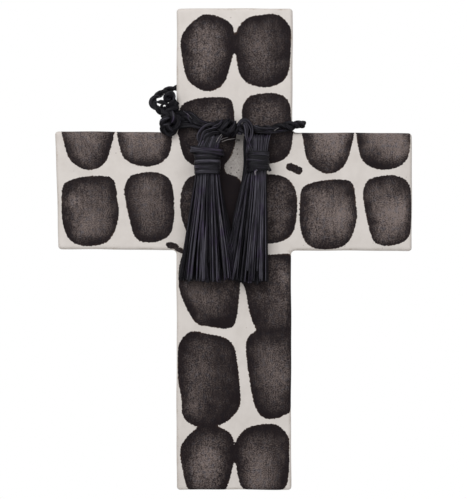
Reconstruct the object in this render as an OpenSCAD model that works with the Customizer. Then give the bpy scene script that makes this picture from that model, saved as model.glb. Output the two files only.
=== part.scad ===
/* [Cross] */
// Height of the cross
cross_h = 340; // [300:1:380]
// Reach of each arm's end from the middle line
arm_reach = 125.4; // [110:0.2:140]
// Width of the upright
upright_w = 81.6; // [74:0.2:90]
// Height of the arms
arm_h = 83.3; // [74:0.1:92]
// Distance from the top of the cross down to the arms
arm_drop = 87.5; // [80:0.5:100]
// Thickness of the slab
slab_t = 16; // [14:0.5:20]
// Radius of the outline's outer corners
corner_r = 3.2; // [2.6:0.1:5]
// Radius of the fillet in the four inner corners
inner_r = 3; // [2:0.1:5]
// Radius of the softened front and back edges
edge_r = 2.5; // [1:0.1:2.5]
// Lean of the left arm's end, from its middle to its corners
end_lean = 1.2; // [0:0.1:2]
// Drop of the right arm's end below the left one
arm_slope = 1.2; // [0:0.1:3]

/* [Hanging hole] */
// Radius of the blind hole in the back
hole_r = 4; // [2.5:0.25:6]
// Depth of the blind hole
hole_depth = 9; // [6:0.5:10]
// Distance of the hole below the top of the cross
hole_drop = 28; // [20:1:40]

/* [Raffia] */
// Diameter of the twisted raffia cord
cord_d = 4.4; // [3.6:0.1:5]
// Depth of the tassels from front to back
tassel_t = 15; // [8:0.5:16]
// Wall of the winding round each tassel's neck
winding_t = 1; // [0.8:0.1:1.5]

/* [Hidden] */

// The slab's back lies on y = 0 and its front on y = -slab_t. The origin is the mouth of the hole.
front_y = -slab_t;
top_z = hole_drop;
bottom_z = top_z - cross_h;
arm_top_z = top_z - arm_drop;
arm_bottom_z = arm_top_z - arm_h;
half_w = upright_w / 2;

// Facets of the soft shapes
CORNER_STEPS = 5;
EDGE_STEPS = 5;
TASSEL_SIDES = 24;
CORD_SIDES = 10;
CORD_STEPS = 3;
HOLE_FN = 64;

// The small gap that keeps raffia clear of the slab
GAP = 0.3;

// The twelve corners of the outline as [x, z, radius], anticlockwise seen from the front
OUTLINE = [
    [-half_w, bottom_z, corner_r],
    [half_w - 0.6, bottom_z, corner_r],
    [half_w - 0.6, arm_bottom_z - arm_slope * 0.2, inner_r],
    [arm_reach, arm_bottom_z - arm_slope / 2, corner_r],
    [arm_reach, arm_top_z - arm_slope / 2, corner_r],
    [half_w + 0.4, arm_top_z - arm_slope * 0.2, inner_r],
    [half_w + 0.4, top_z, corner_r],
    [-half_w - 0.2, top_z, corner_r],
    [-half_w - 0.2, arm_top_z + arm_slope * 0.2, inner_r],
    [-arm_reach - end_lean, arm_top_z + arm_slope / 2, corner_r],
    [-arm_reach + end_lean, arm_bottom_z + arm_slope / 2, corner_r],
    [-half_w, arm_bottom_z + arm_slope * 0.2, inner_r]
];

// The cord's route: from the knot at the left edge across the front, round the right edge,
// up behind the upright, and by a free loop back to the knot
ROUTE = [
    [-42, -19.5, -49.5], [-37, -18.6, -50], [-30, -18.5, -51.2], [-22, -18.5, -54.2],
    [-14.5, -18.5, -57.8], [-7.5, -18.5, -58.1], [-1, -18.5, -56.8], [6, -18.5, -56.4],
    [12.5, -18.5, -57.2], [25, -18.5, -57.2], [33, -18.5, -55.6], [38, -18.4, -54.6],
    [44.6, -15.2, -54], [47.5, -8, -53.6], [44.6, -0.8, -53], [38, 2.4, -52], [27, 2.5, -48.6],
    [10, 2.5, -42.6], [-10, 2.5, -35.8], [-28, 2.5, -29.6], [-38, 2.4, -26.6],
    [-45, 0.6, -27.6], [-51.4, -3.4, -30.6], [-56, -8, -34.4], [-57.4, -12.4, -39.2],
    [-53.4, -15.6, -43.6], [-48, -17, -47]
];

// A tassel's sections as [z, middle x, half width, share of the full depth], from its top down
LEFT_SECTIONS = [
    [-61.4, -15, 3, 0.5], [-63.5, -16, 6, 0.7], [-67, -17.6, 7.6, 0.84], [-70.8, -18.8, 7.6, 0.84],
    [-89, -18.8, 7.6, 0.84], [-92, -18.6, 9.3, 0.96], [-107, -18.8, 12, 1], [-132, -19.9, 15.5, 1],
    [-160, -20.6, 18.2, 0.86], [-164, -20.6, 18.2, 0.84]
];
RIGHT_SECTIONS = [
    [-60.6, 16.8, 5.6, 0.6], [-61.8, 16.8, 8.2, 0.8], [-66, 16.8, 8.4, 0.84], [-74.3, 16.8, 6.6, 0.84],
    [-87.2, 16.8, 6.6, 0.84], [-90, 16.2, 8.2, 0.96], [-107, 14.8, 9.8, 1], [-132, 13.2, 11.6, 1],
    [-161, 11.8, 13, 0.86], [-165.4, 11.8, 13, 0.84]
];
// Each winding's sections as [z, middle x, half width, share of the full depth]
LEFT_WINDING = [[-70.9, -18.8, 8.9, 1], [-76, -18.8, 8.9, 1], [-82, -18.8, 8.8, 1], [-88.9, -18.8, 8.8, 1]];
RIGHT_WINDING = [[-74.4, 16.8, 7.7, 1], [-79, 16.8, 7.6, 1], [-83, 16.8, 7.6, 1], [-87.1, 16.8, 7.7, 1]];

// A vector of length one along v
function unit(v) = v / norm(v);

// The item of a closed list at place i, counted round
function at(list, i) = list[(i + len(list)) % len(list)];

// The inward normal of the edge from a to b
function inward(a, b) = let (u = unit([b[0] - a[0], b[1] - a[1]])) [-u[1], u[0]];

// One rounded corner of the outline moved inwards by inset, as CORNER_STEPS + 1 points on its arc
function corner_points(i, inset) =
    let (
        p = at(OUTLINE, i),
        n1 = inward(at(OUTLINE, i - 1), p),
        n2 = inward(p, at(OUTLINE, i + 1)),
        side = sign(n1[0] * n2[1] - n1[1] * n2[0]),
        sweep = acos(n1 * n2),
        middle = [p[0], p[1]] + side * p[2] * (n1 + n2) / (1 + n1 * n2),
        start = atan2(n1[1], n1[0])
    )
    [for (k = [0:CORNER_STEPS])
        let (a = start + side * sweep * k / CORNER_STEPS)
        middle - side * (p[2] - side * inset) * [cos(a), sin(a)]];

// The whole outline at depth y, moved inwards by inset
function outline_ring(inset, y) =
    [for (i = [0:len(OUTLINE) - 1]) each [for (q = corner_points(i, inset)) [q[0], y, q[1]]]];

// An ellipse about the point c at height z
function ellipse_ring(c, half_x, half_y, z, sides) =
    [for (i = [0:sides - 1])
        let (a = 360 * i / sides)
        [c[0] + half_x * cos(a), c[1] + half_y * sin(a), z]];

// A tassel's or a winding's rings, lying on the slab's front
function tassel_rings(sections) =
    [for (s = sections)
        let (half_y = tassel_t / 2 * s[3])
        ellipse_ring([s[1], front_y - GAP - half_y], s[2], half_y, s[0], TASSEL_SIDES)];

// A smooth curve through the points p: Catmull-Rom, steps points for each stretch
function smooth_route(p, steps) =
    let (n = len(p) - 1)
    [for (i = [0:n - 1]) each
        let (a = p[max(i - 1, 0)], b = p[i], c = p[i + 1], d = p[min(i + 2, n)])
        [for (k = [0:i == n - 1 ? steps : steps - 1])
            let (t = k / steps)
            0.5 * (2 * b + (c - a) * t + (2 * a - 5 * b + 4 * c - d) * t * t + (3 * b - a - 3 * c + d) * pow(t, 3))]];

// The unit directions along a route
function directions(r) =
    let (n = len(r) - 1)
    [for (i = [0:n]) unit(r[min(i + 1, n)] - r[max(i - 1, 0)])];

// v made square to the direction t
function square_to(v, t) = unit(v - (v * t) * t);

// A side vector at each point, carried along the route without twist
function side_vectors(t) =
    [for (i = 0, v = square_to([0, 0, 1], t[0]);
          i < len(t);
          i = i + 1, v = i < len(t) ? square_to(v, t[i]) : v) v];

// The rings of a round tube of radius r along a route
function tube_rings(route, r, sides) =
    let (t = directions(route), v = side_vectors(t))
    [for (i = [0:len(route) - 1])
        let (w = cross(v[i], t[i]))
        [for (k = [0:sides - 1])
            let (a = 360 * k / sides)
            route[i] + r * (cos(a) * v[i] + sin(a) * w)]];

// The middle of a ring's points
function middle_of(ring) = [for (k = [0:2]) [for (q = ring) q[k]] * [for (q = ring) 1] / len(ring)];

// A closed skin over a list of rings with equal numbers of points. Each end is closed by a fan about
// its middle, from which every point of the ring must be in sight.
module skin(rings) {
    n = len(rings[0]);
    m = len(rings);
    first = m * n;
    last = m * n + 1;
    sides = [for (j = [0:m - 2], i = [0:n - 1]) each
        let (a = j * n + i, b = j * n + (i + 1) % n)
        [[a, b, b + n], [a, b + n, a + n]]];
    first_cap = [for (i = [0:n - 1]) [first, (i + 1) % n, i]];
    last_cap = [for (i = [0:n - 1]) [last, (m - 1) * n + i, (m - 1) * n + (i + 1) % n]];
    polyhedron(
        points = concat([for (ring = rings) each ring], [middle_of(rings[0]), middle_of(rings[m - 1])]),
        faces = concat(first_cap, last_cap, sides)
    );
}

// The flat cross with soft edges, and the blind hole that it hangs by
module cross_slab() {
    turns = [for (k = [0:EDGE_STEPS]) 90 * k / EDGE_STEPS];
    front = [for (a = turns) outline_ring(edge_r * (1 - sin(a)), front_y + edge_r * (1 - cos(a)))];
    back = [for (k = [EDGE_STEPS:-1:0])
        outline_ring(edge_r * (1 - sin(turns[k])), edge_r * (cos(turns[k]) - 1))];
    color([0.85, 0.83, 0.8])
        difference() {
            skin(concat(front, back));
            rotate([90, 0, 0])
                translate([0, 0, -1])
                    cylinder(r = hole_r, h = hole_depth + 1, $fn = HOLE_FN);
        }
}

// The twisted cord tied once round the upright
module tie_cord() {
    color([0.14, 0.13, 0.16])
        skin(tube_rings(smooth_route(ROUTE, CORD_STEPS), cord_d / 2, CORD_SIDES));
}

// The knot at the upright's left edge
module tie_knot() {
    color([0.14, 0.13, 0.16])
        hull() {
            translate([-46.4, -17, -49.4]) sphere(r = 4.6, $fn = 32);
            translate([-42, -20.7, -49]) sphere(r = 3.8, $fn = 32);
            translate([-46.4, -17, -57.4]) sphere(r = 4.2, $fn = 32);
        }
}

// One tassel: its looped head, its bound neck and its skirt of strands
module tassel(sections) {
    color([0.12, 0.12, 0.15])
        skin(tassel_rings(sections));
}

// The raffia wound round a tassel's neck, open at both ends for the strands
module winding(sections) {
    ends = [sections[0], sections[len(sections) - 1]];
    color([0.18, 0.17, 0.21])
        difference() {
            skin(tassel_rings(sections));
            skin([for (s = ends) ellipse_ring(
                [s[1], front_y - GAP - tassel_t / 2 * s[3]],
                s[2] - winding_t, tassel_t / 2 * s[3] - winding_t * 0.9,
                s[0] + (s == ends[0] ? 1 : -1), TASSEL_SIDES)]);
        }
}

module left_tassel() { tassel(LEFT_SECTIONS); }
module left_tassel_winding() { winding(LEFT_WINDING); }
module right_tassel() { tassel(RIGHT_SECTIONS); }
module right_tassel_winding() { winding(RIGHT_WINDING); }

cross_slab();
tie_cord();
tie_knot();
left_tassel();
left_tassel_winding();
right_tassel();
right_tassel_winding();
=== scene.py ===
"""A decorative wall cross: a flat cream slab with black painted spots, tied with twisted raffia cord
and hung with two raffia tassels.

Every shape is worked out in millimetres, with x to the right, y towards the wall and z up, from the
mouth of the hanging hole in the back of the slab.
"""

import logging
import math
from collections.abc import Sequence
from dataclasses import dataclass, field
from enum import Enum

import bpy
import numpy as np
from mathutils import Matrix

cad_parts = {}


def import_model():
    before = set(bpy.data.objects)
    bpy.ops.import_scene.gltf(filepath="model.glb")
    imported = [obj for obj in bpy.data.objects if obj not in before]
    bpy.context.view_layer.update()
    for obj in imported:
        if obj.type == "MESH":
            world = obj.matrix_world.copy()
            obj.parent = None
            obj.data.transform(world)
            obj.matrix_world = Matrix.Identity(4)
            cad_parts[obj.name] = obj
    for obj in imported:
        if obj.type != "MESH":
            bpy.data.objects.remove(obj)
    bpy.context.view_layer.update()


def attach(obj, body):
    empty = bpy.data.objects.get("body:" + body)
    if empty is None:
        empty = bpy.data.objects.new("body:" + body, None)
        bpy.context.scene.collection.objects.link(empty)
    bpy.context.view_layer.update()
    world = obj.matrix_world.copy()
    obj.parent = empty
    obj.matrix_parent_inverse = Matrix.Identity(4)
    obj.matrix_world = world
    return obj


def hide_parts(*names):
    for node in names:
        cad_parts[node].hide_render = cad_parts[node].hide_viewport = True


LOG = logging.getLogger("wall_cross")
MM = 0.001
ROOT = "root"
BUMP_DEPTH = 0.4 * MM

Points = np.ndarray
Outline = Sequence[tuple[float, float]]
Route = Sequence[tuple[float, float, float]]
Vector = tuple[float, float, float]
Colour = tuple[float, float, float, float]
Socket = bpy.types.NodeSocket
Group = bpy.types.ShaderNodeTree


class Slot(Enum):
    """The material slots of the record."""

    GLAZE = "cream_glaze"
    RAFFIA = "black_raffia"


# ---------------------------------------------------------------------------
# Curves and meshes
# ---------------------------------------------------------------------------


def ease(t: Points, low: float = 0.0, high: float = 1.0) -> Points:
    """The smooth step 3t^2 - 2t^3 of t between low and high.

    Args:
        t: the values.
        low: the value at which the step leaves 0.
        high: the value at which it reaches 1.

    Returns:
        The step at each value, from 0 to 1.
    """
    u = np.clip((t - low) / (high - low), 0.0, 1.0)
    return u * u * (3 - 2 * u)


def between(a: Points, b: Points, c: Points, d: Points, t: Points) -> Points:
    """A Catmull-Rom curve from b to c, with neighbours a and d.

    At t it is half of 2b + (c - a)t + (2a - 5b + 4c - d)t^2 + (3b - a - 3c + d)t^3.

    Args:
        a: the points before the stretches.
        b: the points where the stretches start.
        c: the points where they end.
        d: the points after them.
        t: the share of each stretch.

    Returns:
        The curve's points.
    """
    return 0.5 * (
        2 * b + (c - a) * t + (2 * a - 5 * b + 4 * c - d) * t**2 + (3 * b - a - 3 * c + d) * t**3
    )


def smooth_route(points: Route, steps: int) -> Points:
    """A smooth open curve through points, the same curve as the model's cord follows.

    Args:
        points: the points that the curve passes through.
        steps: the number of stretches between two points.

    Returns:
        The curve's points, one row each.
    """
    p = np.asarray(points, float)
    last = len(p) - 1
    place = np.linspace(0, last, last * steps + 1)
    i = np.minimum(place.astype(int), last - 1)
    return between(
        p[np.maximum(i - 1, 0)], p[i], p[i + 1], p[np.minimum(i + 2, last)], (place - i)[:, None]
    )


def closed_curve(points: Outline, steps: int) -> Points:
    """A smooth closed curve through the points of an outline.

    Args:
        points: the outline's points, in order.
        steps: the number of stretches between two points.

    Returns:
        The curve's points, with the first not repeated.
    """
    p = np.asarray(points, float)
    n = len(p)
    place = np.arange(n * steps) / steps
    i = place.astype(int)
    return between(p[(i - 1) % n], p[i], p[(i + 1) % n], p[(i + 2) % n], (place - i)[:, None])


def respaced(path: Points, count: int) -> Points:
    """A path with count points at equal steps along its length.

    Args:
        path: the path's points.
        count: the number of points wanted.

    Returns:
        The evenly spaced points.
    """
    along = np.concatenate([[0.0], np.cumsum(np.linalg.norm(np.diff(path, axis=0), axis=1))])
    want = np.linspace(0, along[-1], count)
    return np.stack([np.interp(want, along, path[:, k]) for k in range(3)], axis=1)


def length_of(path: Points) -> float:
    """The length of a path."""
    return float(np.linalg.norm(np.diff(path, axis=0), axis=1).sum())


def unit(v: Points) -> Points:
    """Each vector of an array made one long."""
    return v / np.maximum(np.linalg.norm(v, axis=-1, keepdims=True), 1e-9)


def side_ways(path: Points, across: Vector) -> tuple[Points, Points]:
    """Two side vectors at each point of a path, square to it.

    The first is the given vector with its share along the path taken away, and the second is square to both.

    Args:
        path: the path's points.
        across: a vector that the path never runs along.

    Returns:
        The two side vectors, one row for each point.
    """
    along = unit(np.gradient(path, axis=0))
    given = np.broadcast_to(np.asarray(across, float), path.shape)
    side = unit(given - (given * along).sum(-1, keepdims=True) * along)
    return side, np.cross(along, side)


@dataclass
class Skin:
    """Raffia in the making: points, faces, the place of each face corner on the fibre map, and marks.

    The fibre map's u runs across the fibres and its v along them, both in millimetres.
    """

    points: list[Points] = field(default_factory=list)
    faces: list[list[int]] = field(default_factory=list)
    corners: list[Points] = field(default_factory=list)
    tones: list[Points] = field(default_factory=list)
    painted_shades: list[Points] = field(default_factory=list)
    count: int = 0

    def add_tubes(self, grid: Points, u: Points, v: Points, tone: Points, painted_shade: Points) -> None:
        """Adds closed tubes, each a grid of rings, flat at both ends.

        Args:
            grid: points as (tubes, rings, sides, 3).
            u: the fibre map's place across, as (sides + 1).
            v: the fibre map's place along, as (tubes, rings).
            tone: one tone for each tube.
            painted_shade: painted shade on each side, from 0 to 1, for how hidden from light it is, for the
                sides of all or of each ring.
        """
        tubes, rings, sides, _ = grid.shape
        base = self.count + np.arange(tubes)[:, None, None] * rings * sides
        j = np.arange(rings - 1)[None, :, None] * sides
        k = np.arange(sides)[None, None, :]
        k2 = (k + 1) % sides
        a, b = base + j + k, base + j + k2
        quads = np.stack([a, a + sides, b + sides, b], axis=-1).reshape(-1, 4)
        uu = np.broadcast_to(u[None, None, :], (tubes, rings, sides + 1))
        vv = np.broadcast_to(v[:, :, None], (tubes, rings, sides + 1))
        uv = np.stack([uu, vv], axis=-1)
        quad_uv = np.stack([uv[:, :-1, :-1], uv[:, 1:, :-1], uv[:, 1:, 1:], uv[:, :-1, 1:]], axis=3)
        starts = base[:, 0, 0][:, None] + np.arange(sides)[None, :]
        ends = starts[:, ::-1] + (rings - 1) * sides
        caps = np.concatenate([starts, ends])
        cap_uv = np.concatenate([uv[:, 0, :-1], uv[:, -1, :-1][:, ::-1]])
        self.points.append(grid.reshape(-1, 3))
        self.faces += quads.tolist() + caps.tolist()
        self.corners += [quad_uv.reshape(-1, 2), cap_uv.reshape(-1, 2)]
        self.tones.append(np.repeat(tone, rings * sides))
        self.painted_shades.append(np.broadcast_to(painted_shade, (tubes, rings, sides)).ravel())
        self.count += tubes * rings * sides

    def add_ribbons(
        self, paths: Points, facing: Points, width: Points, thick: Points | float, v: Points, tone: Points,
        sides: int = 8, cup: float = 0.12, girth: float = 5.0,
    ) -> None:
        """Adds flat strands carried along paths.

        Args:
            paths: the middle lines as (strands, rings, 3).
            facing: the way each ring's flat side faces, the same shape as paths.
            width: the width as (strands, rings).
            thick: the thickness, one for all or as (strands, 1, 1).
            v: the fibre map's place along, as (strands, rings).
            tone: one tone for each strand.
            sides: the number of points in a section.
            cup: how far the edges bend back, as a share of the width.
            girth: how much of the fibre map goes round a strand.
        """
        grid = ribbon_grid(paths, facing, width, thick, sides, cup)
        self.add_tubes(grid, np.arange(sides + 1) / sides * girth, v, tone, ribbon_painted_shade(sides))

    def piece(self, name: str, finish: bpy.types.Material) -> bpy.types.Object:
        """Makes the object, smooth shaded, riding on the body, with the given finish.

        Args:
            name: the object's name.
            finish: the material.

        Returns:
            The new object.
        """
        mesh = smooth_mesh(name, np.concatenate(self.points), self.faces)
        layer = mesh.uv_layers.new(name="fibre")
        layer.data.foreach_set("uv", (np.concatenate(self.corners) * MM).astype(np.float32).ravel())
        mark(mesh, "strand_tone", np.concatenate(self.tones))
        # Painted shade at each point.
        mark(mesh, "strand_painted_shade", np.concatenate(self.painted_shades))
        return dressed(mesh, name, finish)


def smooth_mesh(name: str, points: Points, faces: list[list[int]]) -> bpy.types.Mesh:
    """Makes a smooth shaded mesh.

    Args:
        name: the mesh's name.
        points: its points, in millimetres.
        faces: its faces, as numbers of points.

    Returns:
        The mesh, in metres.
    """
    mesh = bpy.data.meshes.new(name)
    mesh.from_pydata(points * MM, [], faces)
    mesh.polygons.foreach_set("use_smooth", np.ones(len(mesh.polygons), bool))
    return mesh


def mark(mesh: bpy.types.Mesh, name: str, values: Points) -> None:
    """Writes one number for each of a mesh's points.

    Args:
        mesh: the mesh.
        name: the attribute's name.
        values: one value for each point.
    """
    layer = mesh.attributes.new(name, "FLOAT", "POINT")
    layer.data.foreach_set("value", values.astype(np.float32))


def dressed(mesh: bpy.types.Mesh, name: str, finish: bpy.types.Material) -> bpy.types.Object:
    """Links a mesh as an object with its finish, riding on the one body.

    Args:
        mesh: the finished mesh, in metres.
        name: the object's name.
        finish: the material.

    Returns:
        The object.
    """
    mesh.update()
    mesh.materials.append(finish)
    piece = bpy.data.objects.new(name, mesh)
    bpy.context.scene.collection.objects.link(piece)
    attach(piece, ROOT)
    LOG.info("%s: %d points, %d faces", name, len(mesh.vertices), len(mesh.polygons))
    return piece


def ribbon_grid(
    paths: Points, facing: Points, width: Points, thick: Points | float, sides: int, cup: float
) -> Points:
    """Flat strands carried along paths, as closed sections of a thin, slightly cupped lens.

    A point of the section at angle a lies half the width times cos(a)^0.75 across the strand and
    thick/2 * sin(a) - cup * width * cos(a)^2 along its facing side.

    Args:
        paths: the middle lines as (strands, rings, 3).
        facing: the way each ring's flat side faces, the same shape as paths.
        width: the width as (strands, rings).
        thick: the thickness, one for all or as (strands, 1, 1).
        sides: the number of points in a section.
        cup: how far the edges bend back, as a share of the width.

    Returns:
        The points as (strands, rings, sides, 3).
    """
    along = unit(np.gradient(paths, axis=1))
    across = unit(np.cross(along, facing))
    out = np.cross(across, along)
    a = 2 * math.pi * np.arange(sides) / sides
    half = width[:, :, None] / 2
    x = half * np.sign(np.cos(a)) * np.abs(np.cos(a)) ** 0.75
    y = thick / 2 * np.sin(a) - 2 * cup * half * np.cos(a) ** 2
    return paths[:, :, None, :] + x[..., None] * across[:, :, None, :] + y[..., None] * out[:, :, None, :]


def ribbon_painted_shade(sides: int) -> Points:
    """The painted shade on each side of a flat strand: 0 along its middle in front, 1 at its edges and
    behind.
    """
    a = 2 * math.pi * np.arange(sides) / sides
    return np.where(np.sin(a) < -0.1, 1.0, np.abs(np.cos(a)) ** 5)


# ---------------------------------------------------------------------------
# Finishes
# ---------------------------------------------------------------------------


@dataclass
class Sheet:
    """A small hand for laying out shader nodes, with the uneven tone group where a material uses it."""

    tree: bpy.types.NodeTree
    group: Group | None = None

    def node(self, kind: str, settings: dict | None = None, **inputs: object) -> bpy.types.Node:
        """Adds a node, sets its options and its plain inputs, and links what is a socket.

        Args:
            kind: the node's type.
            settings: its options by attribute name.
            inputs: its inputs, with underscores for spaces; a number's place may be given as i0, i1.

        Returns:
            The node.
        """
        made = self.tree.nodes.new(kind)
        for key, value in (settings or {}).items():
            setattr(made, key, value)
        for key, value in inputs.items():
            numbered = key[0] == "i" and key[1:].isdigit()
            socket = made.inputs[int(key[1:]) if numbered else key.replace("_", " ")]
            if isinstance(value, Socket):
                self.tree.links.new(value, socket)
            else:
                socket.default_value = value
        return made

    def math(self, operation: str, a: object, b: object) -> Socket:
        """One arithmetic step on two values."""
        return self.node("ShaderNodeMath", {"operation": operation}, i0=a, i1=b).outputs[0]

    def add(self, a: object, b: object) -> Socket:
        """The sum of two values."""
        return self.math("ADD", a, b)

    def times(self, a: object, b: object) -> Socket:
        """The product of two values."""
        return self.math("MULTIPLY", a, b)

    def less(self, a: object, b: object) -> Socket:
        """The first value less the second."""
        return self.math("SUBTRACT", a, b)

    def scaled(self, vector: Socket, by: object) -> Socket:
        """A vector with each of its parts multiplied by the same part of another."""
        return self.node("ShaderNodeVectorMath", {"operation": "MULTIPLY"}, i0=vector, i1=by).outputs[0]

    def step(
        self, value: object, low: float, high: float, to_low: float = 0.0, to_high: float = 1.0
    ) -> Socket:
        """A smooth step of a value.

        Args:
            value: the value.
            low: where the step leaves to_low.
            high: where it reaches to_high.
            to_low: what it gives at low.
            to_high: what it gives at high.

        Returns:
            The step.
        """
        made = self.node(
            "ShaderNodeMapRange", {"interpolation_type": "SMOOTHSTEP"},
            Value=value, From_Min=low, From_Max=high, To_Min=to_low, To_Max=to_high,
        )
        return made.outputs["Result"]

    def blend(self, share: object, a: object, b: object, how: str = "MIX") -> Socket:
        """Two colours mixed by a share."""
        settings = {"data_type": "RGBA", "blend_type": how, "clamp_factor": True}
        return self.node("ShaderNodeMix", settings, i0=share, i6=a, i7=b).outputs[2]

    def mark(self, name: str) -> Socket:
        """A piece's own attribute as a number."""
        return self.node("ShaderNodeAttribute", {"attribute_name": name}).outputs["Fac"]

    def uneven(self, place: Socket, scale: float, fine: float, stretch: float = 1.0) -> Socket:
        """The uneven tone group with values of its own.

        Args:
            place: the vector that it reads.
            scale: cells for each metre.
            fine: the number of finer layers.
            stretch: the scale along z as a share of the scale across.

        Returns:
            The group's value, between about -0.5 and 0.5.
        """
        made = self.node(
            "ShaderNodeGroup", {"node_tree": self.group},
            Vector=place, Scale=scale, Fineness=fine, Stretch=stretch,
        )
        return made.outputs["Value"]

    def bump(self, shader: bpy.types.Node, height: Socket, strength: float) -> None:
        """Links a fine bump to a shader."""
        made = self.node("ShaderNodeBump", Strength=strength, Distance=BUMP_DEPTH, Height=height)
        self.tree.links.new(made.outputs["Normal"], shader.inputs["Normal"])


def mottle_group() -> Group:
    """A node group for uneven tone: coarse and fine noise, stretched, between -0.5 and 0.5.

    Returns:
        The group, with inputs Vector, Scale, Fineness and Stretch and the output Value.
    """
    group = bpy.data.node_groups.new("uneven_tone", "ShaderNodeTree")
    face = group.interface
    face.new_socket("Vector", in_out="INPUT", socket_type="NodeSocketVector")
    for name, value in (("Scale", 400.0), ("Fineness", 3.0), ("Stretch", 1.0)):
        face.new_socket(name, in_out="INPUT", socket_type="NodeSocketFloat").default_value = value
    face.new_socket("Value", in_out="OUTPUT", socket_type="NodeSocketFloat")
    s = Sheet(group)
    given = s.node("NodeGroupInput").outputs
    squeeze = s.node("ShaderNodeCombineXYZ", X=1.0, Y=1.0, Z=given["Stretch"]).outputs[0]
    place = s.scaled(given["Vector"], squeeze)
    noise = s.node(
        "ShaderNodeTexNoise", Vector=place, Scale=given["Scale"], Detail=given["Fineness"], Roughness=0.62
    )
    s.node("NodeGroupOutput", Value=s.less(noise.outputs["Fac"], 0.5))
    return group


def start_material(name: str, group: Group | None = None) -> tuple[bpy.types.Material, Sheet, bpy.types.Node]:
    """Starts a material.

    Args:
        name: its name.
        group: the uneven tone group, where the material uses it.

    Returns:
        The material, its sheet and its shader.
    """
    material = bpy.data.materials.new(name)
    material.use_nodes = True
    tree = material.node_tree
    return material, Sheet(tree, group), tree.nodes["Principled BSDF"]


@dataclass(frozen=True)
class GlazeFinish:
    """The slab's matt cream glaze and its charcoal spots, with painted shade between the tassels, read from
    the marks on its mesh.
    """

    cream: Colour = (0.70, 0.655, 0.62, 1)
    cream_shade: Colour = (0.62, 0.575, 0.54, 1)
    ink_dark: Colour = (0.0075, 0.0042, 0.0052, 1)
    ink_light: Colour = (0.212, 0.169, 0.155, 1)
    ink_brown: Colour = (0.10, 0.052, 0.03, 1)
    ink_cool: Colour = (0.76, 0.86, 1.0, 1)
    # Grey mixed into the cream as painted shade between the tassels.
    painted_shade_grey: Colour = (0.2, 0.18, 0.17, 1)
    clay: Colour = (0.42, 0.35, 0.29, 1)
    specular: float = 0.1
    bump: float = 0.35

    def build(self, group: Group) -> bpy.types.Material:
        """Makes the material.

        Args:
            group: the uneven tone group.

        Returns:
            The material.
        """
        material, s, shader = start_material("cream_and_charcoal_glaze", group)
        place = s.node("ShaderNodeTexCoord").outputs["Object"]
        depth, light = s.mark("spot_depth"), s.mark("spot_light")

        edge = s.add(depth, s.times(s.uneven(place, 760, 3.0), 2.1))
        ink = s.step(edge, -0.12, 0.14)
        grain = s.uneven(place, 1350, 2.5)
        cloud = s.uneven(place, 150, 3.0)
        brush = s.uneven(place, 820, 2.0, 0.22)
        patch = s.uneven(place, 62, 2.0)
        rim = s.step(s.add(depth, s.times(patch, 14.0)), -1.0, 9.5, 0.24, 1.0)
        light = s.add(light, s.add(s.times(cloud, 0.3), s.times(patch, 0.3)))
        tone = s.times(rim, light)
        rough_tone = s.add(s.times(grain, 3.3), s.times(brush, 0.9))
        tone = s.add(tone, s.times(rough_tone, s.add(tone, 0.11)))
        charcoal = s.blend(s.step(tone, 0.0, 1.0), self.ink_dark, self.ink_light)
        cool = s.step(s.uneven(place, 310, 3.0), -0.04, 0.2, 0.0, 0.9)
        charcoal = s.blend(cool, charcoal, self.ink_cool, "MULTIPLY")
        thin_rim = s.less(s.step(edge, -0.2, 0.2), s.step(edge, 0.3, 0.9))
        warm = s.times(thin_rim, s.step(cloud, -0.1, 0.25))
        charcoal = s.blend(s.times(warm, 0.5), charcoal, self.ink_brown)

        drift = s.uneven(place, 60, 4.0)
        cream = s.blend(s.step(drift, -0.2, 0.3), self.cream, self.cream_shade)
        pits = s.node("ShaderNodeTexVoronoi", {"feature": "F1"}, Vector=place, Scale=260.0)
        sparse = s.step(s.uneven(place, 90, 1.0), 0.1, 0.2)
        speck = s.times(s.step(pits.outputs["Distance"], 0.13, 0.05), sparse)
        cream = s.blend(s.times(speck, 0.6), cream, self.ink_brown)
        chipped = s.times(s.mark("worn"), s.step(s.add(cloud, grain), 0.0, 0.3, 0.1, 0.7))
        cream = s.blend(chipped, cream, self.clay)
        # Painted shade between the tassels' necks: the cream turns grey inside the oval that the mesh marks,
        # broken up by noise, and dark specks show only there.
        tassel_shade_breakup = s.add(s.times(grain, 1.6), s.times(cloud, 0.8))
        tassel_shade_mark = s.mark("painted_tassel_shade")
        painted_tassel_shade = s.times(tassel_shade_mark, s.step(tassel_shade_breakup, -0.6, 0.6, 0.6, 1.4))
        cream = s.blend(painted_tassel_shade, cream, self.painted_shade_grey)
        flecks = s.node("ShaderNodeTexVoronoi", {"feature": "F1"}, Vector=place, Scale=330.0)
        fleck = s.times(s.step(flecks.outputs["Distance"], 0.22, 0.12), s.step(tassel_shade_mark, 0.2, 0.5))
        cream = s.blend(s.times(fleck, 0.7), cream, self.ink_dark)

        s.tree.links.new(s.blend(ink, cream, charcoal), shader.inputs["Base Color"])
        rough = s.add(s.step(ink, 0.0, 1.0, 0.5, 0.62), s.times(grain, 0.1))
        s.tree.links.new(rough, shader.inputs["Roughness"])
        height = s.add(s.times(drift, 0.5), s.times(grain, s.step(ink, 0.0, 1.0, 0.05, 0.25)))
        s.bump(shader, height, self.bump)
        shader.inputs["Specular IOR Level"].default_value = self.specular
        return material


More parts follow.
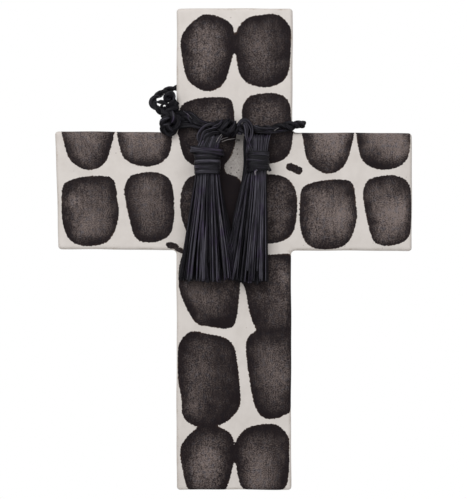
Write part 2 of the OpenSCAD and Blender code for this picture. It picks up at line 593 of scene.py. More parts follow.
@dataclass(frozen=True)
class RaffiaFinish:
    """Raffia in a black dye: fine lengthwise fibres with a soft waxy sheen."""

    dark: Colour = (0.0022, 0.0018, 0.0034, 1)
    light: Colour = (0.068, 0.064, 0.082, 1)
    # Pale fibre colour, partly a painted highlight.
    pale: Colour = (0.3, 0.28, 0.27, 1)
    violet: Colour = (0.88, 0.7, 1.0, 1)
    fibre_squeeze: Vector = (1.0, 0.035, 1.0)
    roughness: float = 0.5
    specular: float = 0.14
    bump: float = 0.7

    def build(self, group: Group) -> bpy.types.Material:
        """Makes the material.

        Args:
            group: the uneven tone group.

        Returns:
            The material.
        """
        material, s, shader = start_material("black_raffia_strand", group)
        fibre = s.node("ShaderNodeUVMap", {"uv_map": "fibre"}).outputs[0]
        run = s.scaled(fibre, self.fibre_squeeze)
        lines = s.uneven(run, 5200, 3.0)
        bands = s.uneven(run, 1500, 2.0)
        patch = s.uneven(s.node("ShaderNodeTexCoord").outputs["Object"], 120, 2.0)
        # The strand's tone less its painted shade at edges, backs and between plies.
        tone = s.less(s.mark("strand_tone"), s.mark("strand_painted_shade"))
        value = s.add(tone, s.add(s.times(lines, 1.1), s.times(bands, 2.6)))
        colour = s.blend(s.step(value, 0.0, 1.0), self.dark, self.light)
        colour = s.blend(s.step(patch, -0.02, 0.2, 0.0, 0.9), colour, self.violet, "MULTIPLY")
        # The highest values turn pale: partly pale fibre ends, partly painted highlight on thin stray fibres
        # and tufts.
        colour = s.blend(s.step(value, 1.0, 1.9), colour, self.pale)
        s.tree.links.new(colour, shader.inputs["Base Color"])
        s.tree.links.new(s.add(self.roughness, s.times(lines, 0.3)), shader.inputs["Roughness"])
        s.bump(shader, s.add(lines, s.times(bands, 1.5)), self.bump)
        shader.inputs["Specular IOR Level"].default_value = self.specular
        return material


# ---------------------------------------------------------------------------
# The painted spots
# ---------------------------------------------------------------------------


@dataclass(frozen=True)
class Glow:
    """A lighter or darker place within a spot: its middle, its gain in lightness and how far it reaches.

    The middle is given as x and the drop below the top. A gain below zero darkens.
    """

    x: float
    drop: float
    gain: float
    reach: float


@dataclass(frozen=True)
class Spot:
    """One painted spot: its closed outline, the tone of its paint and its lighter and darker places.

    The outline's points are given as x and the drop below the top.
    """

    outline: Outline
    tone: float
    glows: tuple[Glow, ...] = ()

    def moved(self, place: tuple[float, float], tone: float, *glows: Glow) -> "Spot":
        """The same outline at another place, with a tone and glows of its own."""
        dx, dz = place
        return Spot(tuple((x + dx, z + dz) for x, z in self.outline), tone, glows)

    def lightness(self, q: Points) -> Points:
        """The paint's lightness at points: its tone, and each glow as gain * exp(-(distance / reach)^2).

        The distance counts a length down the slab as 1 / 1.15 of the same length across it.

        Args:
            q: points as (n, 2).

        Returns:
            The lightness at each.
        """
        light = np.full(len(q), self.tone)
        for glow in self.glows:
            away = np.linalg.norm((q - (glow.x, glow.drop)) / (1.0, 1.15), axis=1)
            light += glow.gain * np.exp(-((away / glow.reach) ** 2))
        return light

    def inside(self, q: Points) -> Points:
        """How far each point of the plane lies inside the outline, below zero outside it.

        The distance is to the nearest edge of the smooth curve through the outline's points, and
        its sign comes from counting the edges that a ray to the right crosses.

        Args:
            q: points as (n, 2).

        Returns:
            The signed distances.
        """
        a = closed_curve(self.outline, 7)
        b = np.roll(a, -1, axis=0)
        edge = b - a
        to = q[:, None, :] - a[None]
        share = np.clip((to * edge).sum(-1) / (edge * edge).sum(-1), 0, 1)
        near = np.linalg.norm(to - share[..., None] * edge, axis=-1).min(1)
        rises = (a[None, :, 1] > q[:, None, 1]) != (b[None, :, 1] > q[:, None, 1])
        run = edge[:, 0] / np.where(edge[:, 1] == 0, 1e-9, edge[:, 1])
        crossed = rises & (q[:, None, 0] < a[None, :, 0] + (q[:, None, 1] - a[None, :, 1]) * run)
        return np.where(crossed.sum(1) % 2 == 1, near, -near)


def stadium(cx: float, cz: float, length: float, width: float, lean: float) -> Outline:
    """The outline of a short brush stroke, a stadium.

    Args:
        cx: the x of its middle.
        cz: the drop of its middle.
        length: its length.
        width: its width.
        lean: how far it leans down to the right, in degrees.

    Returns:
        The outline.
    """
    a = np.radians(np.arange(15, 360, 30))
    x = (length - width) / 2 * np.sign(np.cos(a)) + width / 2 * np.cos(a)
    z = width / 2 * np.sin(a)
    c, s = math.cos(math.radians(lean)), math.sin(math.radians(lean))
    return tuple(zip((cx + c * x - s * z).tolist(), (cz + s * x + c * z).tolist()))


@dataclass(frozen=True)
class SpotPattern:
    """The whole pattern: two pairs of spots that repeat in a half drop, and those that stand alone."""

    far: float = -4.0
    melt: float = 1.4
    ground_light: float = 0.4
    pair_high: tuple[Spot, Spot] = (
        Spot(
            ((-20, 4.5), (-9, 7), (-1.5, 13), (0, 25), (-2, 38), (-8, 54), (-20, 58.8), (-32.5, 51),
             (-37, 34), (-38, 22), (-34, 14.2), (-27, 7.8)),
            0.18, (Glow(-20, 19, 0.24, 11), Glow(-20, 35, 0.28, 11), Glow(-27, 46, 0.12, 9),
                   Glow(-11, 49, -0.16, 7)),
        ),
        Spot(
            ((20, 4.5), (31, 5), (38.6, 13), (39.6, 24), (38.3, 43.5), (33, 52.3), (22, 56), (10, 53.5),
             (3.6, 46), (1, 30), (1.4, 17), (8, 8)),
            0.15, (Glow(17, 25, 0.2, 11), Glow(12, 36, 0.14, 9), Glow(20, 42, 0.1, 8)),
        ),
    )
    pair_low: tuple[Spot, Spot] = (
        Spot(
            ((-16, 63), (-4, 63.8), (-0.4, 70), (0.5, 80), (1.6, 88), (-1, 101), (-8, 110), (-22, 112.5),
             (-33, 108.5), (-38.2, 97), (-39, 80), (-37, 68.8), (-28, 64.5)),
            0.2, (Glow(-14, 75, 0.16, 12),),
        ),
        Spot(
            ((14, 61.2), (27, 59.8), (36.3, 63.5), (40, 73), (40.6, 94), (36.3, 105.4), (24, 109.6),
             (14, 107), (9.9, 96.6), (6.4, 81), (5.5, 72), (8.5, 64.5)),
            0.2, (Glow(23, 76, 0.16, 11), Glow(28, 102, -0.12, 10)),
        ),
    )
    join: Spot = Spot(
        ((-4.5, 14), (-1.2, 18), (0, 18.8), (1.2, 18), (4.5, 14), (6, 25), (4.5, 37), (1.4, 32.4), (0, 31.6),
         (-1.4, 32.4), (-4.5, 37), (-6, 25)),
        0.08,
    )
    left_arm: tuple[float, float] = (-83.2, 56.1)
    right_arm: tuple[float, float] = (85, 57.7)
    foot: tuple[float, float] = (0, 289)

    def spots(self) -> list[Spot]:
        """Every spot of the pattern.

        Returns:
            The spots, from the top down.
        """
        high, low = self.pair_high, self.pair_low
        left, right, foot = self.left_arm, self.right_arm, self.foot
        return [
            *high,
            self.join,
            *low,
            high[0].moved(left, 0.25, Glow(-104, 91, 0.34, 15)),
            high[1].moved(left, 0.22, Glow(-72, 89, 0.44, 12), Glow(-54, 93, 0.34, 11)),
            high[0].moved(right, 0.26, Glow(68, 88, 0.56, 15), Glow(60, 112, -0.16, 7)),
            high[1].moved(right, 0.24, Glow(105, 88, 0.54, 15), Glow(120, 97, 0.46, 8),
                          Glow(98, 107, -0.26, 8)),
            low[0].moved(left, 0.24, Glow(-113, 137, 0.3, 5), Glow(-103, 153, 0.32, 12),
                         Glow(-96, 136, 0.08, 14)),
            low[1].moved(left, 0.22, Glow(-62, 123, 0.18, 10), Glow(-60, 142, 0.22, 13)),
            low[0].moved(right, 0.26, Glow(65, 149, 0.24, 14), Glow(81, 147, 0.46, 10),
                         Glow(60, 133, 0.24, 9)),
            low[1].moved(
                right, 0.3,
                Glow(110, 144, 0.36, 7), Glow(107, 152, 0.2, 13), Glow(122, 144, 0.66, 8),
                Glow(102, 128, 0.18, 9),
            ),
            # The spot under the crossing. Its darker place at x -2, drop 136, beside the left tassel, is
            # partly darker paint and partly painted shadow of the tassel.
            Spot(
                ((-28, 118), (-14, 116.5), (0, 118.5), (5.5, 126), (5.5, 148), (0, 162), (-14, 166),
                 (-28, 164.5), (-36, 152), (-38.3, 136), (-35, 123)),
                0.2, (Glow(-34, 140, 0.1, 14), Glow(-2, 136, -0.34, 18)),
            ),
            Spot(
                ((14, 118.5), (27, 117), (37, 119.8), (43, 128), (44.2, 140), (42.2, 157), (35, 163.8),
                 (22, 166), (11, 163), (8, 148), (8.5, 126)),
                0.24, (Glow(33, 134, 0.12, 10), Glow(31, 156, 0.1, 6)),
            ),
            Spot(
                ((-33, 170), (-38.5, 181), (-39, 196), (-35, 209), (-27.5, 222), (-18, 224.8), (-4, 226),
                 (0.8, 221), (3, 208), (4.2, 197), (4, 180), (-6, 170), (-20, 168.5)),
                0.2, (Glow(-26, 202, 0.18, 10), Glow(-14, 208, 0.14, 9), Glow(-13, 222, -0.16, 8)),
            ),
            Spot(
                ((20, 174.5), (30, 173.2), (41, 173.8), (44.6, 182), (44.6, 205), (44.6, 225), (30, 231),
                 (19, 229.5), (15.2, 226), (11, 216), (9, 205), (7.8, 198), (5, 192), (5, 182), (11, 177)),
                0.18, (Glow(37, 190, 0.34, 7), Glow(34, 212, 0.2, 8), Glow(23, 204, 0.08, 9)),
            ),
            Spot(
                ((14.4, 228.4), (9.6, 232.6), (8.2, 240), (9.6, 255), (12.2, 270), (15.5, 282), (21, 288.8),
                 (29, 289.5), (36, 287), (42, 282), (44.6, 260), (44, 228), (28, 224)),
                0.16, (Glow(25, 249, 0.24, 13), Glow(33, 264, 0.2, 13)),
            ),
            Spot(
                ((-31, 228.2), (-20, 229.6), (-7, 232.5), (-0.5, 238.5), (2, 249), (4, 267), (4.3, 280),
                 (-2, 289.3), (-12, 294.8), (-22, 296), (-31, 293.3), (-36.5, 286.5), (-37, 276), (-40, 261),
                 (-40.6, 246), (-38.5, 235.5)),
                0.15, (Glow(-25, 257, 0.2, 12), Glow(-21, 240, 0.14, 8), Glow(-33, 279, 0.44, 8)),
            ),
            high[0].moved(foot, 0.2, Glow(-19, 318, 0.46, 10), Glow(-24, 336, 0.16, 12)),
            high[1].moved(foot, 0.2, Glow(18, 322, 0.3, 12), Glow(16, 335, 0.24, 10)),
            self.join.moved(foot, 0.08),
            # A dark patch between the left tassel's binding and the spot to its right: partly paint, partly
            # painted shadow of the tassel.
            Spot(
                ((-14, 93), (-5, 96), (-1.6, 101), (-3.4, 106), (-6.6, 110), (-6.9, 114), (-5.4, 119),
                 (-13, 121), (-17, 108)),
                0.12,
            ),
            Spot(stadium(42.3, 113, 12.2, 5.6, 24), 0.36),
            Spot(
                ((-48.2, 166), (-44.6, 164.9), (-40, 166.4), (-36.4, 169.4), (-35.2, 172.8), (-37.6, 173.2),
                 (-41.6, 170.4), (-46.4, 169.6)),
                0.5,
            ),
        ]

    def paint(self, q: Points) -> tuple[Points, Points]:
        """How deep each point of the plane lies in the paint, and how light the paint is there.

        Two spots that nearly touch melt together: the depth is the greater of the two, raised by
        the square of how much closer than the melt distance they are, over four times that distance.

        Args:
            q: points as (x, drop below the top).

        Returns:
            The depth, and the lightness, mostly from 0 to 1.
        """
        depth = np.full(len(q), self.far)
        light = np.full(len(q), self.ground_light)
        for spot in self.spots():
            outline = np.array(spot.outline)
            low, high = outline.min(0) + self.far, outline.max(0) - self.far
            close = np.flatnonzero(((q > low) & (q < high)).all(1))
            if not len(close):
                continue
            inside = np.maximum(spot.inside(q[close]), self.far)
            old = depth[close]
            touch = np.maximum(self.melt - np.abs(old - inside), 0)
            light[close] = np.where(inside > old, spot.lightness(q[close]), light[close])
            depth[close] = np.maximum(old, inside) + touch**2 / (4 * self.melt)
        return depth, light


# ---------------------------------------------------------------------------
# The slab
# ---------------------------------------------------------------------------


@dataclass
class CrossSlab:
    """The flat cross: a thick slab with softened edges, filleted inner corners and a hanging hole."""

    height: float = 340.0
    reach: float = 125.4
    upright: float = 81.6
    arm: float = 83.3
    arm_drop: float = 87.5
    thick: float = 16.0
    hole_drop: float = 28.0
    hole_radius: float = 4.0
    hole_depth: float = 9.0
    hole_room: float = 1.3
    edge: float = 2.5
    fillet: float = 3.0
    end_lean: float = 1.2
    arm_slope: float = 1.2
    step: float = 1.22
    depth_step: float = 1.4
    fine: float = 0.5
    paint_height: float = 0.12
    paint_edge: tuple[float, float] = (-0.3, 0.8)
    back_share: float = 0.97
    most_worn: float = 0.5
    over_side: float = 1.4
    side_paint: float = 3.5
    # The oval of painted shade between the tassels' necks: its middle, half sizes and greatest share.
    tassel_shade_x: float = -1.5
    tassel_shade_drop: float = 108.0
    tassel_shade_half_x: float = 19.0
    tassel_shade_half_drop: float = 36.0
    tassel_shade_most: float = 0.62
    pattern: SpotPattern = field(default_factory=SpotPattern)

    def __post_init__(self) -> None:
        """Works out the levels that the slab's parts share."""
        self.half = self.upright / 2
        self.top = self.hole_drop
        self.bottom = self.top - self.height
        self.arm_top = self.top - self.arm_drop
        self.arm_bottom = self.arm_top - self.arm
        self.arm_middle = (self.arm_top + self.arm_bottom) / 2

    def graded(self, low: float, high: float, step: float) -> Points:
        """Levels from low to high, finer near both ends and even between.

        Args:
            low: the first level.
            high: the last level.
            step: the even step.

        Returns:
            The levels.
        """
        near = np.cumsum(np.linspace(self.fine, step, 6))
        if high - low < 2.5 * near[-1]:
            near = near[:4]
        even = max(int(round((high - low - 2 * near[-1]) / step)), 1)
        inner = np.linspace(low + near[-1], high - near[-1], even + 1)
        return np.concatenate([[low], low + near[:-1], inner, (high - near[:-1])[::-1], [high]])

    def joined(self, *marks: float) -> Points:
        """Graded levels from each mark to the next, with no level given twice."""
        parts = [self.graded(low, high, self.step) for low, high in zip(marks, marks[1:])]
        return np.concatenate([parts[0], *(part[1:] for part in parts[1:])])

    def lattice(self) -> tuple[Points, Points, Points]:
        """The levels of the slab's lattice along x, y and z."""
        xs = self.joined(-self.reach, -self.half, self.half, self.reach)
        zs = self.joined(self.bottom, self.arm_bottom, self.arm_top, self.top)
        return xs, self.graded(-self.thick, 0.0, self.depth_step), zs

    def surface(self) -> tuple[Points, Points, Points]:
        """The lattice faces on the outside of the cross, less those over the hanging hole.

        A cell of the plan belongs to the cross where its middle lies in the upright or in the arms.
        The front and back are the plan's cells, and a wall stands on each side that only one cell has.

        Returns:
            Points on the sharp slab, faces of four, and the ring of points about the hole.
        """
        xs, ys, zs = self.lattice()
        nx, ny, nz = len(xs), len(ys), len(zs)
        mx, mz = (xs[1:] + xs[:-1]) / 2, (zs[1:] + zs[:-1]) / 2
        in_upright = (np.abs(mx) < self.half)[:, None] & np.ones(nz - 1, bool)[None]
        in_arms = ((mz > self.arm_bottom) & (mz < self.arm_top))[None, :] & np.ones(nx - 1, bool)[:, None]
        cells = in_upright | in_arms

        def code(i: Points, j: Points, k: Points) -> Points:
            """The number of a lattice point."""
            return (i * ny + j) * nz + k

        around = ((0, 0), (1, 0), (1, 1), (0, 1))
        i, k = np.nonzero(cells)
        front = np.stack([code(i + a, 0, k + b) for a, b in around], 1)
        room = self.hole_radius + self.hole_room
        holed = (np.abs(mx) < room)[:, None] & (np.abs(mz) < room)[None, :]
        bi, bk = np.nonzero(cells & ~holed)
        last = ny - 1
        back = np.stack([code(bi + b, last, bk + a) for a, b in around], 1)
        faces = [front, back]
        padded = np.pad(cells, 1)
        j = np.arange(last)
        for axis, sense in ((0, -1), (0, 1), (1, -1), (1, 1)):
            beside = np.roll(padded, -sense, axis=axis)[1:-1, 1:-1]
            wi, wk = (a[:, None] for a in np.nonzero(cells & ~beside))
            if axis == 0:
                at = wi + (sense > 0)
                a, b = code(at, j, wk), code(at, j, wk + 1)
                quad = np.stack([a, a + nz, b + nz, b], -1)
            else:
                at = wk + (sense > 0)
                a, b = code(wi, j, at), code(wi + 1, j, at)
                quad = np.stack([a, b, b + nz, a + nz], -1)
            quad = quad.reshape(-1, 4)
            faces.append(quad if sense > 0 else quad[:, ::-1])
        faces = np.concatenate(faces)

        hi, hk = np.flatnonzero(np.abs(mx) < room), np.flatnonzero(np.abs(mz) < room)
        i0, i1, k0, k1 = hi[0], hi[-1] + 1, hk[0], hk[-1] + 1
        ring = np.concatenate([
            code(np.arange(i0, i1), last, k0), code(i1, last, np.arange(k0, k1)),
            code(np.arange(i1, i0, -1), last, k1), code(i0, last, np.arange(k1, k0, -1)),
        ])
        used, faces = np.unique(faces, return_inverse=True)
        faces = faces.reshape(-1, 4)
        place = np.stack([xs[used // (ny * nz)], ys[used // nz % ny], zs[used % nz]], 1)
        return place, faces, np.searchsorted(used, ring)

    def softened(self, p: Points) -> Points:
        """Rounds the slab's edges: each point near an edge moves on to a ball that rolls inside it.

        The vector from the ball's middle to the sharp point keeps its way but is shortened from its
        greatest component over its length. In the crossing, the way out is towards the inner corner.

        Args:
            p: points on the sharp slab.

        Returns:
            The rounded points.
        """
        x, y, z = p.T
        in_arm = np.abs(x) > self.half
        in_upright = ~in_arm & ((z > self.arm_top) | (z < self.arm_bottom))
        crossing = ~in_arm & ~in_upright
        up = np.where(z > self.arm_middle, 1.0, -1.0)
        way = np.where(x > 0, 1.0, -1.0)
        to_band = np.where(up > 0, self.arm_top - z, z - self.arm_bottom)
        to_end = np.where(up > 0, self.top - z, z - self.bottom)
        ex = np.where(in_arm, self.reach, self.half) - np.abs(x)
        ez = np.where(in_arm, to_band, to_end)
        vx = np.where(crossing, 0, np.clip(self.edge - ex, 0, None))
        vz = np.where(crossing, 0, np.clip(self.edge - ez, 0, None))
        front = y < -self.thick / 2
        vy = np.clip(self.edge - np.where(front, y + self.thick, -y), 0, None)
        cx, cz = self.half - np.abs(x), to_band
        far = np.hypot(cx, cz)
        vc = np.where(crossing, np.clip(self.edge - far, 0, None), 0)
        most = np.maximum.reduce([vx, vz, vy, vc])
        ux = np.where(far > 0, cx / np.maximum(far, 1e-9), 0.7071)
        uz = np.where(far > 0, cz / np.maximum(far, 1e-9), 0.7071)
        v = np.stack([way * (vx + vc * ux), np.where(front, -vy, vy), up * (vz + vc * uz)], 1)
        size = np.linalg.norm(v, axis=1)
        share = np.where(size > 0, most / np.maximum(size, 1e-9), 1.0)
        return p - v * (1 - share)[:, None]

    def filleted(self, p: Points) -> Points:
        """Fills the four inner corners with a round fillet and eases the points behind it along.

        Args:
            p: points with a sharp inner corner.

        Returns:
            The points with each inner corner's walls on an arc.
        """
        x, y, z = p.T.copy()
        f = self.fillet
        way, up = np.where(x > 0, 1.0, -1.0), np.where(z > self.arm_middle, 1.0, -1.0)
        a = np.abs(x) - self.half
        b = np.where(up > 0, z - self.arm_top, self.arm_bottom - z)
        wa, wb = np.clip(f - a, 0, None), np.clip(f - b, 0, None)
        most, size = np.maximum(wa, wb), np.maximum(np.hypot(wa, wb), 1e-9)
        hold = 1 - ease(most, f * 1.001, 3.2 * f)
        share = 1 + hold * (most / size - 1)
        near = (most > 0) & (most < 3.2 * f) & (a > -2.3 * f) & (b > -2.3 * f)
        x = np.where(near & (wa > 0), way * (self.half + f - wa * share), x)
        b2 = f - wb * share
        z = np.where(near & (wb > 0), np.where(up > 0, self.arm_top + b2, self.arm_bottom - b2), z)
        return np.stack([x, y, z], 1)

    def handmade(self, p: Points) -> Points:
        """Leans the left end, slopes the arms and adds the slight waves of a hand-cut slab.

        Args:
            p: points of the true slab.

        Returns:
            The points of the hand-made one.
        """
        x, y, z = p.T.copy()
        beyond = np.clip(np.maximum(z - self.arm_top, self.arm_bottom - z), 0, None)
        on_arms = 1 - ease(beyond, 0, 25)
        out_left = np.clip((-x - self.half) / (self.reach - self.half), 0, 1)
        x = x - self.end_lean * out_left * (z - self.arm_middle) / (self.arm / 2)
        wide = np.where(z > self.arm_middle, 0.4, -0.6) * ease(np.abs(z - self.arm_middle), 20, self.arm / 2)
        x = x + wide * np.clip(x / self.half, 0, 1) * (1 - np.clip((x - self.half) / 40, 0, 1))
        z = z - self.arm_slope / 2 * x / self.reach * on_arms
        x = x + 0.14 * np.sin(z / 17 + 1.0) + 0.08 * np.sin(z / 6.3)
        z = z + 0.14 * np.sin(x / 15 + 2.0) + 0.08 * np.sin(x / 5.7)
        facing = np.clip(-y / self.thick, 0, 1)
        y = y - facing * (0.16 * np.sin(x / 31 + z / 47) + 0.10 * np.sin(x / 13 - z / 19 + 2))
        return np.stack([x, y, z], 1)

    def build(self, finish: bpy.types.Material) -> bpy.types.Object:
        """Makes the slab with its hole and its paint.

        Args:
            finish: the glaze.

        Returns:
            The slab's object.
        """
        sharp, quads, ring = self.surface()
        turned = self.filleted(self.softened(sharp))
        behind = np.where(turned[:, 1] < 0, sharp[:, 1] + self.thick, self.thick)
        drop = self.top - sharp[:, 2]
        out = self.way_out(sharp)
        on_side = out[:, 0] != 0
        pulled = np.where(on_side, np.minimum(behind, self.over_side), behind)
        q = np.stack([sharp[:, 0], drop], 1) + pulled[:, None] * out
        depth, light = self.pattern.paint(q)
        depth = np.where(on_side, np.minimum(depth, self.side_paint - behind), depth)
        depth = np.where(behind > self.thick * self.back_share, self.pattern.far, depth)
        p = self.handmade(turned)
        front = turned[:, 1] < -self.thick + self.edge
        p[:, 1] -= np.where(front, self.paint_height * ease(depth, *self.paint_edge), 0)

        bore, bore_faces = self.hole(p, ring)
        mesh = smooth_mesh("painted_slab", np.concatenate([p, bore]), quads.tolist() + bore_faces)
        worn = np.clip(np.linalg.norm(turned - sharp, axis=1) / self.most_worn, 0, 1)
        for name, values, in_bore in (
            ("spot_depth", depth, self.pattern.far),
            ("spot_light", light, 0.0),
            # Painted shade between the tassels, on the front only.
            ("painted_tassel_shade", self.painted_tassel_shade(q) * front, 0.0),
            ("worn", worn, 0.0),
        ):
            mark(mesh, name, np.concatenate([values, np.full(len(bore), in_bore)]))
        slab = dressed(mesh, "painted_slab", finish)
        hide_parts("cross_slab")
        return slab

    def hole(self, p: Points, ring: Points) -> tuple[Points, list[list[int]]]:
        """The hanging hole: rings from the opening in the back inwards, and a flat floor.

        Args:
            p: the slab's points.
            ring: the numbers of the points about the opening.

        Returns:
            The hole's own points, and its faces.
        """
        angle = np.arctan2(p[ring, 2], p[ring, 0])
        levels = ((0.35, 0.0), (0.1, -0.12), (0.0, -0.4), (0.0, -3.0), (0.0, -6.0), (0.0, -self.hole_depth))
        rings = [
            np.stack([(self.hole_radius + grow) * np.cos(angle), np.full_like(angle, at),
                      (self.hole_radius + grow) * np.sin(angle)], 1)
            for grow, at in levels
        ]
        n, m = len(ring), len(levels)
        ids = np.concatenate([ring[None], len(p) + np.arange(n * m).reshape(m, n)])
        after = np.roll(ids, -1, axis=1)
        tube = np.stack([ids[:-1], ids[1:], after[1:], after[:-1]], -1).reshape(-1, 4)
        return np.concatenate(rings), tube.tolist() + [ids[-1][::-1].tolist()]

    def painted_tassel_shade(self, q: Points) -> Points:
        """How much painted shade lies on the glaze between the tassels' necks: a soft oval.

        Args:
            q: points as (x, drop below the top).

        Returns:
            The share of painted shade at each point.
        """
        across = (q[:, 0] - self.tassel_shade_x) / self.tassel_shade_half_x
        down = (q[:, 1] - self.tassel_shade_drop) / self.tassel_shade_half_drop
        return self.tassel_shade_most * (1 - ease(np.hypot(across, down), 0.35, 1.0))

    def way_out(self, p: Points) -> Points:
        """The way out of the slab's side at each point, as (x, drop), and nothing on the front and back.

        Args:
            p: points on the sharp slab.

        Returns:
            One vector for each point.
        """
        x, _, z = p.T
        tiny = 1e-6
        in_arm = np.abs(x) > self.half + tiny
        end = in_arm & (np.abs(x) > self.reach - tiny)
        past = (z > self.arm_top - tiny) | (z < self.arm_bottom + tiny)
        side = ~in_arm & (np.abs(x) > self.half - tiny) & past
        over = in_arm & past
        tip = ~in_arm & ((z > self.top - tiny) | (z < self.bottom + tiny))
        dx = np.where(end | side, np.sign(x), 0.0)
        dz = np.where(over | tip, np.where(z > self.arm_middle, -1.0, 1.0), 0.0)
        return np.stack([dx, dz], 1)


# ---------------------------------------------------------------------------
# The raffia
# ---------------------------------------------------------------------------


@dataclass
class TwistedCord:
    """A two-ply twisted raffia cord: two lumpy plies wound round a route, half a turn apart."""

    diameter: float = 4.4
    pitch: float = 15.0
    rings_per_mm: float = 1.5
    sides: int = 24
    ply_radius: float = 0.355
    ply_offset: float = 0.25

    def plies(
        self,
        skin: Skin,
        path: Points,
        across: Vector,
        turn: float = 0.0,
        swell: float = 1.0,
        tone: float = 0.3,
        thin_end: bool = False,
    ) -> Points:
        """Adds the two plies along a path.

        The middle of a ply lies ply_offset diameters from the path at an angle that turns once a pitch.
        Its section is a circle of ply_radius diameters with three lumps and eight fibres that turn with
        it, and its size waves a little along its length.

        Args:
            skin: the mesh to add to.
            path: the middle line.
            across: a vector that the path never runs along.
            turn: the angle at which the plies start.
            swell: the cord's thickness as a share of its full diameter.
            tone: the tone of the darker ply.
            thin_end: whether the cord thins out over its last few millimetres.

        Returns:
            The evenly spaced middle line.
        """
        count = max(int(length_of(path) * self.rings_per_mm), 8)
        line = respaced(path, count)
        side, up = side_ways(line, across)
        s = np.linspace(0, length_of(path), count)
        d = self.diameter * swell * (1 + 0.06 * np.sin(s / 2.3 + turn) + 0.05 * np.sin(s / 5.7 + 2 * turn))
        if thin_end:
            d = d * (0.4 + 0.6 * ease(s[-1] - s, 0, 5))
        a = 2 * math.pi * np.arange(self.sides) / self.sides
        for ply in (0, 1):
            w = 2 * math.pi * s / self.pitch + math.pi * ply + turn + 0.5 * np.sin(s / 9)
            out = np.cos(w)[:, None] * side + np.sin(w)[:, None] * up
            round_ = -np.sin(w)[:, None] * side + np.cos(w)[:, None] * up
            middle = line + (self.ply_offset * d)[:, None] * out
            lumps = 0.08 * np.cos(3 * a[None] + 1.7 * w[:, None])
            fibres = 0.5 + 0.5 * np.cos(8 * a[None] + 1.3 * w[:, None] + np.sin(3 * a[None] + w[:, None]))
            r = (self.ply_radius * d)[:, None] * (0.95 + lumps + 0.1 * fibres)
            # Painted shade on each ply: darker on its side towards the other ply and in the grooves between
            # its fibres.
            painted_shade = (1 - np.cos(a)) / 2 + 0.55 * (1 - fibres)
            outward = (r * np.cos(a))[..., None] * out[:, None]
            grid = middle[:, None] + outward + (r * np.sin(a))[..., None] * round_[:, None]
            u = np.arange(self.sides + 1) / self.sides * math.pi * 2 * self.ply_radius * self.diameter
            skin.add_tubes(grid[None], u, (s + 40 * ply)[None], np.array([tone + 0.14 * ply]), painted_shade)
        return line


@dataclass(frozen=True)
class Strand:
    """One flat strand laid along a route of its own, with its width, tone and turns."""

    route: Route
    width: float
    tone: float
    thick: float
    face: float = 0.0
    twist: float = 0.0


def lay_strands(
    skin: Skin, strands: Sequence[Strand], rings: int = 40, sides: int = 10, parts: int = 1
) -> None:
    """Adds strands given one by one, each one or more cupped ribbons along a smooth curve through its route.

    A strand's flat side faces the front, turned about the strand by its face angle and by its twist
    times the share of its length, and its width waves a little and narrows at both ends. The parts of
    a strand lie side by side over its width and roll slowly over each other.

    Args:
        skin: the mesh to add to.
        strands: the strands.
        rings: the number of sections of each.
        sides: the number of points in a section.
        parts: the number of ribbons in a strand.
    """
    strands = [strand for strand in strands for _ in range(parts)]
    paths = np.stack([respaced(smooth_route(strand.route, 8), rings) for strand in strands])
    looks = np.array([(s.width, s.tone, s.thick, s.face, s.twist) for s in strands])
    width, tone, thick, face, twist = looks.T[..., None]
    t = np.linspace(0, 1, rings)[None]
    n = np.arange(len(strands))[:, None]
    along = unit(np.gradient(paths, axis=1))
    front = np.zeros_like(paths)
    front[..., 1] = -1
    front = unit(front - (front * along).sum(-1, keepdims=True) * along)
    spin = (face + twist * t)[..., None]
    facing = np.cos(spin) * front + np.sin(spin) * np.cross(along, front)
    end = 0.55 + 0.45 * ease(t, 0, 0.08) * ease(1 - t, 0, 0.08)
    wave = 1 + 0.10 * np.sin(7 * t + 2.1 * n) + 0.06 * np.sin(17 * t + n)
    width = width * end * wave
    if parts > 1:
        place = (n % parts + 0.5) / parts - 0.5
        roll = 1.1 * np.sin(4.2 * t + 1.3 * n)
        side = place * width * np.cos(roll)
        rise = place * width * np.sin(roll) * 0.7 + 0.3 * (n % 2)
        paths = paths + side[..., None] * np.cross(along, facing) + rise[..., None] * facing
        width = width * 1.35 / parts
        thick = thick * 0.7
        tone = tone + 0.16 * np.sin(2.4 * n)
    span = np.linalg.norm(np.diff(paths, axis=1), axis=2).sum(1)[:, None]
    skin.add_ribbons(
        paths, facing, width, thick[..., None], t * span + 61.0 * n, tone, sides=sides, cup=0.1, girth=6.0
    )


